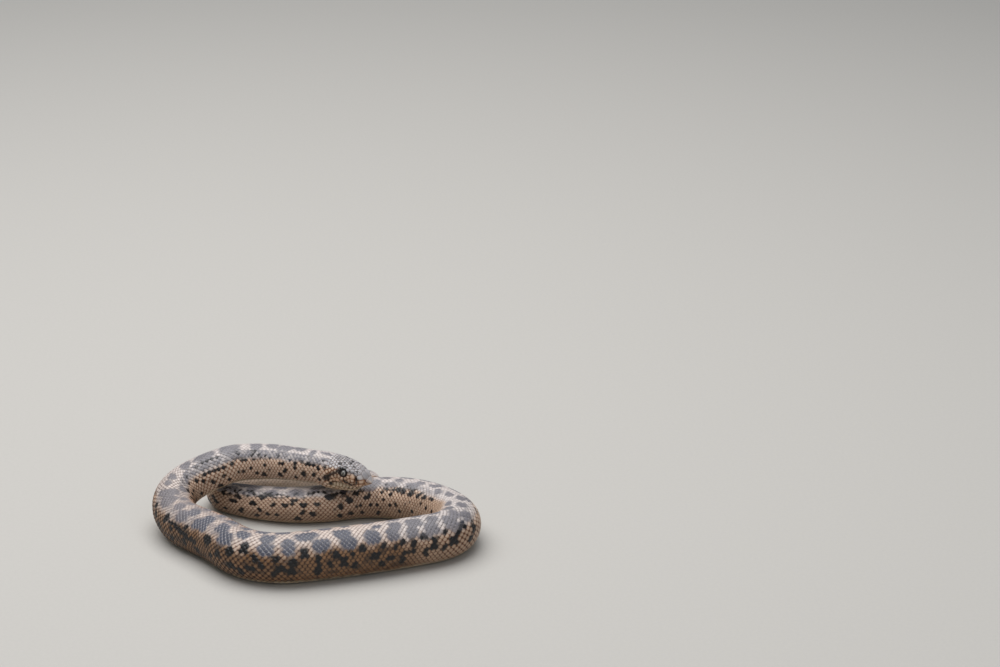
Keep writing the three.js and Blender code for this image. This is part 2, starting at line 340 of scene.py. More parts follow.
# markings and painted shade, shared by skin and scales
pattern = {
    # turn in degrees of the pattern's own middle line, as the body lies rolled a little outwards
    "midline": [(0, 2), (58, 2), (80, -12), (165, -12), (182, -6), (215, -3), (318, 0)],
    # half the width of the pale back
    "backHalf": [(0, 50), (60, 50), (80, 45), (170, 44), (186, 37), (236, 38), (262, 46), (318, 46)],
    "bellyFrom": (132, 143),
    "arc": 0.11,                # millimetres across the body in a degree
    # growth of the lengths and widths listed below, and of the front coil's spots before that
    "growth": (1.06, 1.1), "frontGrowth": (1.12, 1.15),
    # patches of noise: length and width in millimetres, and seed
    "clouds": {"coarse": (2.6, 2.2, 3), "fine": (0.9, 0.8, 4), "grain": (0.6, 0.55, 21),
               "speckle": (0.8, 0.75, 9), "pepper": (0.7, 0.6, 17), "smudge": (1.7, 1.1, 33)},
    # stretches of the body: where each starts, is full, fades and ends
    "stretches": {
        "outerBend": (50, 76, 172, 190), "frontCoil": (76, 92, 142, 160), "leftTurn": (62, 74, 98, 110),
        "rightBend": (150, 164, 178, 190), "rightInk": (150, 162, 178, 188),
        # the stretch inside the right bend and the inner turn's flank under the neck carry painted shade
        "hollowShade": (172, 180, 194, 206), "neckBand": (10, 14, 60, 70),
        "innerBand": (178, 194, 262, 270), "innerShade": (212, 224, 258, 266),
        "plainTail": (262, 270, 300, 306),
    },
    # slate in mottled places: least, how much more in patches, and the noise where they start and are full
    "slate": {"neckBand": (0.35, 0.65, -0.5, 0.1), "innerBand": (0.1, 0.6, -0.1, 0.4),
              "crown": (0.34, 0.36, -0.5, 0.6), "leftTurn": (0.25, 0.45, -0.35, 0.4)},
    "pepper": 0.7,              # darkness of single scales in the mottled bands,
    "speckle": 0.75,            # of those just under the blotches,
    "smudge": 0.45,             # and of the clouded patches low on the outer bend
    # painted shade on the outer bend: its pale gaps take on the flank's darker colour
    "bendShade": 0.36,                # how much of the flank's colour the outer bend's pale gaps take
    # grey blotches on the middle line and beside it: run, turn, half length, half width in degrees
    "blotches": [
        (14.7, -4, 2.0, 11), (18.9, 8, 0.9, 22), (23.6, -7, 2.1, 18), (28.3, 4, 2.5, 19),
        (32.6, -3, 1.9, 19), (37.8, 0, 2.0, 22), (45.4, 2, 2.5, 25), (52, 6, 2.8, 22), (57.5, 2, 1.4, 16),
        (62.5, -2, 1.2, 14), (65, -10, 0.9, 10), (68.4, -22, 1.3, 19), (72.2, -22, 2.2, 25),
        (78.3, -14, 2.0, 15), (85.2, -12, 2.1, 14), (82.2, -38, 2.3, 17), (92.5, -18, 2.1, 14),
        (89.8, -40, 2.1, 15), (93.1, -43, 1.6, 12), (99.9, -19, 2.1, 18), (103.3, -40, 2.4, 15),
        (107.5, -14, 2.2, 14), (114.8, -15, 2.0, 15), (114.9, -43, 1.9, 15), (120.2, -37, 1.8, 18),
        (125.5, -13, 3.2, 13), (128.9, -41, 2.5, 16), (135.5, -17, 2.8, 14), (136.8, -44, 2.3, 14),
        (144, -36, 2.2, 18), (146.2, -8, 1.5, 7), (151.6, -14, 1.9, 15), (150, -39, 1.9, 17),
        (157.2, -14, 2.3, 15), (156, -41, 2.0, 16), (163.2, -13, 1.6, 13), (162, -40, 2.3, 17),
        (167.3, -33, 1.9, 21), (170, -14, 1.5, 16), (172.4, -34, 1.6, 16), (175.6, -12, 1.5, 14),
        (172.6, 11, 1.3, 8), (177.5, 22, 2.0, 8), (180.2, -14, 1.6, 11), (187, -30, 2.4, 9),
        (190.8, -10, 1.3, 8), (180.6, -36, 1.5, 10), (197, -22, 2.1, 9), (202.5, -14, 2.0, 8),
        (208.5, -9, 2.0, 9), (214.2, -6, 1.8, 9), (184, 4, 1.6, 9), (188.5, 15, 1.6, 9), (192, 3, 1.5, 8),
        (196.8, 4, 1.5, 8), (199, 22, 2.2, 11), (204, 5, 1.5, 10), (206.5, 27, 2.4, 10),
        (211.5, 14, 1.8, 12), (213.5, 34, 2.5, 12), (230.5, 12, 1.6, 14), (236, 22, 2, 16),
        (243, 25, 1.8, 14), (249.6, 20, 1.6, 16), (256, 25, 2, 14), (303, 0, 2.4, 18), (312, 8, 1.4, 18),
    ],
    # near-black spots: run, turn, half length, half width in degrees
    "neckSpots": [
        (13.4, 56, 0.6, 6), (15.6, 67, 0.7, 7), (17.3, 60, 0.7, 7), (19.1, 59, 0.8, 7),
        (20.9, 53, 0.6, 6), (23.3, 64, 0.6, 9), (25.4, 54, 0.6, 4), (28, 68, 0.8, 6), (32.5, 53, 0.6, 4),
        (35.6, 54, 0.6, 4), (38.6, 58, 0.8, 3), (42, 59, 1.3, 3), (46.1, 63, 0.6, 5), (48.4, 67, 0.7, 5),
        (50.4, 67, 0.8, 5), (52.2, 63, 0.5, 4), (54, 66, 0.7, 5), (56.9, 68, 0.8, 5), (23.3, 81, 0.5, 6),
        (34.7, 77, 0.7, 6), (17, 95, 0.6, 9), (20.4, 97, 0.7, 10), (26.6, 93, 0.7, 7), (32.5, 93, 0.6, 5),
        (40, 86, 0.6, 5), (42.5, 96, 0.6, 7), (44.7, 95, 0.6, 6), (48.9, 90, 0.4, 4), (52.6, 96, 0.5, 6),
        (54.8, 84, 0.5, 7), (15.2, 105, 0.4, 6), (23.3, 112, 0.6, 8), (28.6, 110, 0.8, 8),
        (34.8, 113, 0.7, 7), (37.8, 105, 0.7, 7), (48, 113, 0.5, 8), (51, 128, 0.7, 9),
        (57.6, 114, 0.7, 8), (61, 80, 0.8, 4), (62.5, 106, 0.9, 5),
    ],
    "frontSpots": [
        (80.4, -64, 1.3, 3.5), (82.3, -68, 1.2, 3.5), (85, -75.5, 1.4, 3.5), (88.8, -83, 1.4, 3.5),
        (77.3, -55, 0.9, 8), (76.9, -69, 0.5, 5), (83.5, -72, 0.9, 5), (86.5, -79, 0.9, 5),
        (91.1, -85, 0.9, 6), (89.2, -81, 0.6, 3), (80.5, -79, 0.6, 6), (86, -57, 0.8, 4),
        (97.4, -61, 1.8, 8), (102.8, -80, 0.7, 8), (106.2, -66, 1.0, 10), (109.8, -46, 1.0, 11),
        (112.7, -70, 0.6, 8), (114.2, -84, 0.7, 8), (111.5, -93, 1.0, 6), (118.2, -89, 1.0, 6),
        (121, -77, 0.8, 7), (120.7, -98, 0.9, 8), (116.8, -103, 0.6, 8), (106.8, -97, 1.0, 8),
        (109.3, -107, 0.8, 8), (100, -95, 0.7, 6), (117.5, -67, 0.5, 5), (80.3, -108, 0.5, 8),
        (124, -56, 0.9, 10), (127.6, -75, 0.6, 9), (127.6, -98, 0.9, 12), (132.9, -66, 0.9, 8),
        (134.9, -85, 0.9, 9), (137.6, -75, 0.5, 7), (140.6, -60, 0.9, 9), (144.1, -84, 1.2, 8),
        (146.8, -61, 0.6, 5), (152.3, -59, 0.9, 6), (150.3, -70, 0.5, 6), (155.7, -67, 0.8, 7),
        (155.5, -85, 0.6, 6), (148.5, -93, 0.7, 6), (158.8, -53, 1.0, 8), (161.7, -82, 1.0, 7),
        (162, -66, 0.7, 6), (166.8, -79, 1.0, 8), (164.6, -90, 0.7, 4), (165.2, -52, 0.6, 6),
        (169.7, -51, 0.9, 9), (168.3, -63, 0.7, 5), (172.5, -72, 0.6, 8), (159, -94, 0.8, 8),
        (153, -86, 0.7, 5), (131, -88, 0.6, 8), (138, -100, 0.8, 8), (146, -108, 0.8, 7),
        (92, -104, 0.8, 7), (70.4, -60, 0.5, 8), (72, -78, 0.6, 6), (74.5, -93, 0.7, 6),
        (86, -98, 0.6, 7), (152, -103, 0.7, 7), (171, -92, 0.7, 6),
    ],
    "innerSpots": [
        (187.8, 43, 1.1, 5), (191.6, 45, 0.8, 6), (194.6, 48, 0.9, 7), (198.2, 49, 0.8, 6),
        (201, 45, 0.9, 6), (203, 46, 0.5, 4), (205.7, 56, 0.7, 6), (207.3, 40, 0.6, 5), (209, 52, 0.6, 4),
        (211, 63, 0.5, 4), (214, 58, 0.6, 7), (215.3, 64, 0.8, 6), (221, 65, 1.0, 8), (226.8, 47, 1.0, 9),
        (230.1, 65, 0.7, 6), (233.9, 66, 0.9, 7), (239, 67, 1.0, 5), (237, 60, 0.5, 5), (242, 68, 0.6, 5),
        (244.8, 44, 0.7, 6), (243.2, 28, 0.7, 7), (248, 68, 1.0, 8), (249.6, 27, 0.6, 9),
        (252.6, 55, 0.8, 7), (254.3, 71, 1.4, 6), (236, 30, 0.6, 7), (236.4, 50, 0.7, 5),
        (251.5, 37, 0.5, 4), (218.5, 48, 0.8, 6), (222.5, 36, 0.9, 7), (185, 69, 0.5, 5),
        (188.8, 68, 0.6, 6), (192, 68, 0.4, 4), (197.5, 69, 0.4, 4), (199.5, 77, 0.5, 4),
        (203.5, 82, 0.6, 5), (206, 85, 0.5, 5), (208.3, 71, 0.5, 4), (211, 87, 0.7, 5),
        (213.5, 84, 0.7, 5), (217.5, 82, 0.6, 4), (219.2, 87, 0.5, 4), (223.9, 80, 0.6, 8),
        (225.7, 86, 0.5, 4), (246, 88, 0.6, 7), (209.8, 96, 0.6, 5), (231.5, 97, 0.9, 8),
        (234.2, 92, 0.7, 7), (241.2, 101, 0.8, 6), (243.8, 101, 0.7, 7), (251.2, 95, 0.5, 7),
        (252, 106, 0.6, 6), (217, 109, 0.9, 7), (221, 108, 0.9, 8), (224.3, 112, 0.7, 8),
        (235.5, 115, 0.8, 8), (211, 112, 0.7, 8), (202, 100, 0.6, 6), (196, 92, 0.6, 5),
        (247, 112, 0.8, 7),
    ],
    # where all the marks are in these lists: first and last run, least and greatest turn
    "listed": {
        "blotches": [(0, 64, -25, 180), (64, 177, -180, -2), (177, 216, -15, 40), (216, 258, 0, 40)],
        "spots": [(0, 64, 0, 180), (64, 177, -180, 0), (177, 257, 0, 180), (266, 304, -112, -48)],
    },
    # marks strewn over all other places, in loose rows on both sides of the middle line
    "strewn": {
        "blotches": {"rows": (0, 31), "start": 12, "pitch": 6.3, "long": (1.5, 2.6), "wide": (10, 16)},
        "spots": {"rows": (57, 75, 93, 111), "start": 16, "pitch": 4.2,
                  "long": (0.55, 1.05), "wide": (4, 8)},
    },
    "jitter": {"size": (0.75, 1.2), "turn": (-5, 5), "pitch": (0.75, 1.25)},
}


def patchNoise(x, y, seed):
    # smooth noise from -1 to 1 on a plane
    table = np.random.default_rng(seed).uniform(-1, 1, (64, 64))
    x0, y0 = np.floor(x).astype(int), np.floor(y).astype(int)
    fx, fy = ease(x - x0, 0, 1), ease(y - y0, 0, 1)

    def corner(i, j):
        return table[(x0 + i) % 64, (y0 + j) % 64]

    return mix(mix(corner(0, 0), corner(1, 0), fx), mix(corner(0, 1), corner(1, 1), fx), fy)


def midlineAt(run):
    return throughStations(pattern["midline"], run)


def isListed(run, turn, kind):
    return any(first <= run < last and least < turn < most
               for first, last, least, most in pattern["listed"][kind])


def strewMarks(kind):
    strewn, jitter = pattern["strewn"][kind], pattern["jitter"]
    marks = []
    for number, row in enumerate(strewn["rows"]):
        for hand in (1, -1):
            run = strewn["start"] + strewn["pitch"] * (0.5 * (number % 2) + 0.25 * (hand < 0))
            while run < totalRun - 2:
                size = random.uniform(*jitter["size"])
                turn = float(midlineAt(run)) + hand * (row + random.uniform(*jitter["turn"]))
                long, wide = random.uniform(*strewn["long"]) * size, random.uniform(*strewn["wide"]) * size
                if not isListed(run, turn, kind):
                    marks.append((run, turn, long, wide))
                run += strewn["pitch"] * random.uniform(*jitter["pitch"])
    return marks


def grown(marks, growth):
    return [(run, turn, long * growth[0], wide * growth[1]) for run, turn, long, wide in marks]


blotchMarks = grown(pattern["blotches"] + strewMarks("blotches"), pattern["growth"])
spotMarks = pattern["neckSpots"] + grown(pattern["frontSpots"], pattern["frontGrowth"])
spotMarks = grown(spotMarks + pattern["innerSpots"] + strewMarks("spots"), pattern["growth"])
print(len(blotchMarks), "blotches and", len(spotMarks), "spots")

markPower = 2.6     # 2 makes the marks oval, more makes them boxier


def covered(run, turnDegrees, marks, wobble, softness):
    # how far each point lies in the nearest mark, from 0 to 1
    best = np.zeros_like(run)
    order = np.argsort(run)
    sortedRun = run[order]
    for at, across, halfLength, halfWidth in marks:
        reach = halfLength * 1.8 + 0.6
        a, b = np.searchsorted(sortedRun, (at - reach, at + reach))
        near = order[a:b]
        along = np.abs((run[near] - at) / halfLength)
        off = np.abs(((turnDegrees[near] - across + 180) % 360 - 180) / halfWidth)
        distance = (along**markPower + off**markPower) ** (1 / markPower)
        best[near] = np.maximum(best[near], 1 - ease(distance + wobble[near], 1 - softness, 1 + softness))
    return best


# marks of the head, on both sides: run, turn, half length, half width in degrees
headMarks = {
    "dark": [
        (8.9, 56, 0.6, 5), (9.5, 63, 0.7, 6), (10.1, 70, 0.7, 6), (10.7, 76, 0.7, 9), (11.6, 79, 0.6, 6),
        (12.4, 86, 0.8, 8), (13.1, 91, 0.7, 8), (12.2, 96, 0.5, 8), (6.5, 55, 0.6, 4), (5.7, 48, 0.6, 4),
        (4.7, 47, 0.5, 4), (4.2, 58, 0.3, 6), (3.8, 69, 0.3, 10), (3.7, 83, 0.28, 9), (3.2, 70, 0.25, 5),
        (11.8, 113, 0.6, 5), (7.5, 86, 0.4, 6), (7.1, 92, 0.4, 6), (6.3, 96, 0.45, 6), (5.4, 99, 0.4, 7),
        (4.5, 98, 0.25, 6), (6.5, 131, 0.35, 7), (5.7, 135, 0.3, 6), (8.3, 98, 0.3, 4), (7.3, 38, 0.5, 4),
        (9.3, 33, 0.6, 5), (5.2, 20, 0.4, 6), (6.6, 8, 0.4, 7), (3.9, 36, 0.3, 4), (8.2, 20, 0.4, 5),
    ],
    "brown": [
        (4.0, 96, 0.4, 6), (5.0, 92, 0.3, 9), (5.9, 92, 0.3, 8), (6.8, 84, 0.35, 6), (8.4, 90, 0.3, 6),
        (1.5, 116, 0.7, 8), (11.3, 134, 0.5, 7), (4.2, 140, 0.4, 8), (7.9, 136, 0.3, 6),
        (9.6, 128, 0.3, 6),
    ],
    "warm": [
        (9.6, 91, 1.5, 11), (0.7, 96, 0.9, 6), (2.2, 98, 1.0, 5), (3.6, 100, 0.8, 5), (5.3, 69, 0.9, 9),
        (10.6, 134, 1.2, 8), (6.4, 76, 0.6, 5),
    ],
    "pale": [
        (12.7, 16, 1.3, 10), (16.4, 18, 1.5, 10), (9.3, 4, 0.4, 18), (11.2, 50, 2.2, 5),
        (2.9, 60, 0.7, 10), (7.6, 14, 0.7, 6),
    ],
    "cream": [(8.8, 122, 3.6, 12)],
    # the ring's dark is partly the ocular scales' own colour and partly painted shade of the eye socket
    "ring": {"run": 7.8, "turn": 61.5, "outer": 1.35, "edge": 0.3},     # round the eye
    "softness": {"dark": 0.25, "brown": 0.3, "warm": 0.3, "pale": 0.25, "cream": 0.3},
    "darkness": {"dark": 0.95, "brown": 0.38},
    "lastRun": 17,
}

# low is painted shade: the flanks darker towards the ground and in hollows
markNames = ["back", "grey", "black", "belly", "warm", "low", "inked"]
backMark, blackMark = markNames.index("back"), markNames.index("black")


def slateIn(name, noise):
    least, more, start, full = pattern["slate"][name]
    return least + more * ease(noise, start, full)


def bodyMarks(run, degrees, clouds):
    on = {name: between(run, *ends) for name, ends in pattern["stretches"].items()}
    outerBend, frontCoil = on["outerBend"], on["frontCoil"]
    coarse, fine, grain = clouds["coarse"], clouds["fine"], clouds["grain"]
    both = np.abs(degrees)
    fromMiddle = np.abs(degrees - midlineAt(run))
    half = throughStations(pattern["backHalf"], run)
    head = 1 - ease(run, 11, 15)
    edge = 0.13 * coarse + 0.13 * fine
    belly = ease(both + 4 * fine, *pattern["bellyFrom"])

    # the pale back's edge wanders, and is softer on the outer bend
    wander = mix(4, 7, outerBend) * coarse + mix(3, 6, outerBend) * fine
    fadeStart = half - mix(4, 13, outerBend) - 15 * frontCoil
    back = 1 - ease(fromMiddle + wander, fadeStart, half + mix(9, 13, outerBend) - 8 * frontCoil)

    # slate blotches, with mottled bands beside those of the neck and the inner turn
    neckBand = on["neckBand"] * between(degrees, 22, 27, 50, 57)
    innerEnd = 6 * ease(run, 205, 222)
    innerBand = on["innerBand"] * ease(degrees, 12, 24) * (1 - ease(degrees - innerEnd, 46, 55))
    mottled = np.maximum(neckBand, innerBand)
    patches = coarse * 0.3 + fine * 0.4 + grain
    veil = on["leftTurn"] * ease(fromMiddle, 2, 18) * back
    grey = np.max([
        covered(run, degrees, blotchMarks, edge, 0.16),
        neckBand * slateIn("neckBand", patches),
        innerBand * back * slateIn("innerBand", patches),
        head * back * slateIn("crown", patches + coarse * 0.1),
        veil * slateIn("leftTurn", grain + 0.5 * fine)], axis=0)
    # painted shade: the outer bend's pale gaps are darkened up to the right bend, and blotches are lighter
    # away from the front coil, so that the front coil reads darker
    back = back * (1 - pattern["bendShade"] * outerBend * (1 - ease(run, 140, 160)))
    grey = grey * (1 - 0.22 * (1 - frontCoil))

    # spots, dark slate where they reach into the back, and single dark scales
    spots = covered(run, degrees, spotMarks, edge, 0.2) * (1 - head)
    grey = np.maximum(grey, spots * back)
    plain = on["plainTail"] * (degrees < 0) * ease(fromMiddle, 46, 56)
    lowEdge = np.exp(-((fromMiddle - half - 4) / 7) ** 2) * (1 - head)
    speckle = ease(clouds["speckle"], 0.35, 0.6) * lowEdge * (1 - plain)
    dense = 0.22 * innerBand * np.maximum(ease(degrees, 24, 38) * 0.5, ease(run, 208, 222))
    pepper = ease(clouds["pepper"] + 0.35 * coarse + dense, 0.2, 0.75) * mottled
    smudge = ease(clouds["smudge"], -0.1, 0.5) * outerBend * ease(both, 50, 66) * (1 - 0.7 * on["rightBend"])
    black = np.max([spots * (1 - 0.6 * back), pepper * pattern["pepper"], speckle * pattern["speckle"],
                    smudge * pattern["smudge"]], axis=0)

    # painted shade: the flanks grow darker downwards, most of all on the outer bend and its front coil and
    # less on the right bend, with more in the hollow inside the right bend and on the inner turn's flank
    # under the neck
    shadeStart = mix(54, 42, outerBend) - 12 * frontCoil
    low = ease(both + mix(9, 16, frontCoil) * coarse, shadeStart, shadeStart + mix(56, 42, outerBend))
    low = low * np.maximum(outerBend, 0.6 * ease(run, 172, 186)) * (1 - 0.4 * on["rightBend"])
    low = np.max([low, 0.34 * on["hollowShade"] * between(degrees, 24, 42, 120, 138),
                  0.3 * on["innerShade"] * between(degrees, 38, 48, 66, 84)], axis=0)
    inked = 0.14 * mottled + 0.08 * outerBend + 0.2 * on["rightInk"]
    belly = np.maximum(belly, plain * 0.35)
    back = np.maximum(back, plain * 0.55)
    return {"back": back, "grey": grey, "black": black, "belly": belly, "low": low, "inked": inked}


def addHeadMarks(marks, run, degrees, clouds):
    both = np.abs(degrees)
    edge = 0.2 * clouds["coarse"] + 0.16 * clouds["fine"]
    on = {}
    for name, softness in headMarks["softness"].items():
        wobble = edge * 0.5 if name == "cream" else edge
        on[name] = covered(run, both, headMarks[name], wobble, softness) * (run < headMarks["lastRun"])
    ring, darkness = headMarks["ring"], headMarks["darkness"]
    # the dark ring round the eye: the ocular scales' own dark together with painted shade of the socket
    away = np.hypot(run - ring["run"], np.radians(both - ring["turn"]) * besideEye)
    dark = np.maximum(on["dark"], 1 - ease(away, ring["outer"], ring["outer"] + ring["edge"]))
    warm = np.maximum(on["warm"], on["brown"])
    marks["grey"] = marks["grey"] * (1 - 0.8 * on["pale"])
    marks["back"] = np.maximum(marks["back"], on["pale"])
    black = np.maximum(dark * darkness["dark"], on["brown"] * darkness["brown"])
    marks["black"] = np.maximum(marks["black"], black)
    marks["belly"] = np.maximum(marks["belly"], on["cream"] * 0.85) * (1 - warm * 0.6)
    marks["warm"] = warm * (1 - dark)


def markingsAt(run, turn):
    # strengths from 0 to 1 of each colour of the coat at body coordinates, in the order of markNames
    run, turn = np.broadcast_arrays(np.asarray(run, float), np.asarray(turn, float))
    shape, run, turn = run.shape, run.ravel(), turn.ravel()
    degrees = (np.degrees(turn) + 180) % 360 - 180
    arc = degrees * pattern["arc"]
    clouds = {name: patchNoise(run / long, arc / wide, seed)
              for name, (long, wide, seed) in pattern["clouds"].items()}
    marks = bodyMarks(run, degrees, clouds)
    addHeadMarks(marks, run, degrees, clouds)
    marks["inked"] = marks["inked"] * marks["back"]
    return np.stack([marks[name] for name in markNames], -1).reshape(shape + (len(markNames),))


# helpers for making meshes
bakePatch = 0.0015      # half the size of one scale's patch in the UV map


def clearSelection():
    bpy.ops.object.select_all(action="DESELECT")


def vertexPlaces(mesh):
    return np.array([vertex.co for vertex in mesh.vertices])


def moveVertices(mesh, points):
    mesh.vertices.foreach_set("co", points.astype(np.float32).ravel())


def turnOutwards(mergeWithin=0):
    # recalculates the normals of the piece at hand, after its doubles are merged
    bpy.ops.object.mode_set(mode="EDIT")
    bpy.ops.mesh.select_all(action="SELECT")
    if mergeWithin:
        bpy.ops.mesh.remove_doubles(threshold=mergeWithin)
    bpy.ops.mesh.normals_make_consistent(inside=False)
    bpy.ops.object.mode_set(mode="OBJECT")


def makeSlab(columns, rows):
    # a closed slab of columns by rows faces, from -1 to 1 both ways and 0 to 1 in height
    clearSelection()
    bpy.ops.mesh.primitive_grid_add(x_subdivisions=columns, y_subdivisions=rows, size=2)
    bpy.ops.object.mode_set(mode="EDIT")
    bpy.ops.mesh.select_all(action="SELECT")
    bpy.ops.mesh.extrude_region_move(TRANSFORM_OT_translate={"value": (0, 0, 1)})
    bpy.ops.object.mode_set(mode="OBJECT")
    turnOutwards()
    return bpy.context.object


def keepMesh(piece):
    # the mesh alone, as a pattern for copies
    mesh = piece.data.copy()
    bpy.data.objects.remove(piece)
    return mesh


def joinCopies(name, leaf, points):
    # one mesh of many copies of a small one, each with its own points
    count, size = points.shape[:2]
    corners = np.array([v for face in leaf.polygons for v in face.vertices])
    sizes = np.array([len(face.vertices) for face in leaf.polygons])
    allCorners = (corners[None] + size * np.arange(count)[:, None]).ravel()
    allSizes = np.tile(sizes, count)
    mesh = bpy.data.meshes.new(name)
    mesh.vertices.add(count * size)
    moveVertices(mesh, points)
    mesh.loops.add(len(allCorners))
    mesh.loops.foreach_set("vertex_index", allCorners.astype(np.int32))
    mesh.polygons.add(len(allSizes))
    starts = np.concatenate([[0], np.cumsum(allSizes)[:-1]]).astype(np.int32)
    mesh.polygons.foreach_set("loop_start", starts)
    mesh.update(calc_edges=True)
    mesh.polygons.foreach_set("use_smooth", np.ones(len(allSizes), bool))
    piece = bpy.data.objects.new(name, mesh)
    bpy.context.scene.collection.objects.link(piece)
    return piece


def addAttribute(mesh, name, values):
    layer = mesh.attributes.new(name, "FLOAT", "POINT")
    layer.data.foreach_set("value", np.ascontiguousarray(values, np.float32).ravel())


def addMarks(mesh, marks, edge=None, tone=None):
    # markings for each vertex, nearness to its scale's rim and the scale's own lightness
    marks = marks.reshape(-1, len(markNames))
    for number, name in enumerate(markNames):
        addAttribute(mesh, name, marks[:, number])
    if edge is not None:
        addAttribute(mesh, "edge", edge)
        addAttribute(mesh, "tone", tone)


def bakeU(run):
    return 0.01 + 0.98 * run / totalRun


def bakeV(turn):
    return 0.02 + 0.96 * (turn + math.pi) / (2 * math.pi)


def addBakeMap(mesh, u, v):
    # a UV map from a place for each vertex
    layer = mesh.uv_layers.new(name="OFBake")
    corner = np.empty(len(mesh.loops), np.int32)
    mesh.loops.foreach_get("vertex_index", corner)
    places = np.stack([u.ravel()[corner], v.ravel()[corner]], -1)
    layer.data.foreach_set("uv", places.astype(np.float32).ravel())


def dropMaps(mesh):
    while mesh.uv_layers:
        mesh.uv_layers.remove(mesh.uv_layers[0])


def finishPiece(piece, material):
    piece.data.materials.clear()
    piece.data.materials.append(material)
    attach(piece, "root")


# colours in sRGB, 0 to 255: the middle of a scale and its edge
paint = {
    "paleBack": (210, 199, 194), "paleBackEdge": (178, 162, 155),
    "crown": (208, 202, 201), "crownEdge": (174, 164, 159),
    "cheek": (228, 200, 174), "cheekEdge": (150, 98, 60),
    "grey": (78, 79, 92), "greyEdge": (172, 168, 170), "ink": (60, 57, 66),
    "flank": (220, 193, 170), "flankEdge": (134, 82, 45),
    # the lower flank's darker browns are painted shade
    "shadedFlank": (134, 98, 66), "shadedFlankEdge": (50, 25, 9),
    "black": (12, 11, 13), "blackEdge": (30, 23, 21),
    "belly": (214, 196, 168), "bellyEdge": (176, 146, 110), "warm": (208, 170, 138),
    "skin": (102, 62, 34), "skinBack": (158, 140, 132), "skinBelly": (168, 140, 108),
    "skinGrey": (92, 89, 96), "skinBlack": (24, 20, 20),
}


def linear(colour):
    channels = [c / 255 for c in colour]
    return [c / 12.92 if c <= 0.04045 else ((c + 0.055) / 1.055) ** 2.4 for c in channels] + [1]


def newMaterial(name):
    material = bpy.data.materials.new(name)
    material.use_nodes = True
    return material, material.node_tree, material.node_tree.nodes["Principled BSDF"]


def setSockets(shader, values):
    for name, value in values.items():
        shader.inputs[name].default_value = value


def feed(tree, socket, value):
    # a number or colour is set on the socket, anything else is linked to it
    if isinstance(value, (int, float, list)):
        socket.default_value = value
    else:
        tree.links.new(value, socket)


def attributeNode(tree, name):
    node = tree.nodes.new("ShaderNodeAttribute")
    node.attribute_name = name
    return node.outputs["Fac"]


def mathNode(tree, operation, *values):
    node = tree.nodes.new("ShaderNodeMath")
    node.operation = operation
    for socket, value in zip(node.inputs, values):
        feed(tree, socket, value)
    return node.outputs[0]


def scaled(tree, value, factor, added=0.0):
    return mathNode(tree, "MULTIPLY_ADD", value, factor, added)


def mixColours(tree, factor, a, b, blend="MIX"):
    node = tree.nodes.new("ShaderNodeMix")
    node.data_type = "RGBA"
    node.blend_type = blend
    for number, value in ((0, factor), (6, a), (7, b)):
        feed(tree, node.inputs[number], value)
    return node.outputs[2]


def shadeColour(tree, colour, light):
    grey = tree.nodes.new("ShaderNodeCombineColor")
    for socket in grey.inputs[:3]:
        tree.links.new(light, socket)
    return mixColours(tree, 1.0, colour, grey.outputs[0], "MULTIPLY")


def noiseNode(tree, scale, detail):
    # fine scales are large numbers, as the frame is in metres
    node = tree.nodes.new("ShaderNodeTexNoise")
    setSockets(node, {"Scale": scale, "Detail": detail})
    tree.links.new(tree.nodes.new("ShaderNodeTexCoord").outputs["Object"], node.inputs["Vector"])
    return node.outputs["Fac"]


def rampNode(tree, value, low, high):
    node = tree.nodes.new("ShaderNodeMapRange")
    node.interpolation_type = "SMOOTHSTEP"
    setSockets(node, {"From Min": low, "From Max": high})
    tree.links.new(value, node.inputs["Value"])
    return node.outputs["Result"]


def bumpNode(tree, shader, height, strength, depth):
    bump = tree.nodes.new("ShaderNodeBump")
    setSockets(bump, {"Strength": strength, "Distance": depth})
    tree.links.new(height, bump.inputs["Height"])
    tree.links.new(bump.outputs["Normal"], shader.inputs["Normal"])


scaleFinish = {
    "sockets": {"IOR": 1.45, "Coat Weight": 0.12, "Coat Roughness": 0.26},
    "roughness": (0.36, 0.54), "bump": (0.5, 0.00002),
    "fineGrain": (2600, 3), "clouds": (260, 3),
    # where the edge colour starts and is full: 0 is the middle of a scale, 1 its rim
    "margin": (0.7, 1.15), "net": (0.55, 1.08), "inkLine": (0.6, 0.95), "ragged": 0.35,
    "warmth": 0.75,
    "darkest": 0.81, "ownTone": 0.22, "clouding": 0.12,     # each scale a little lighter or darker
}


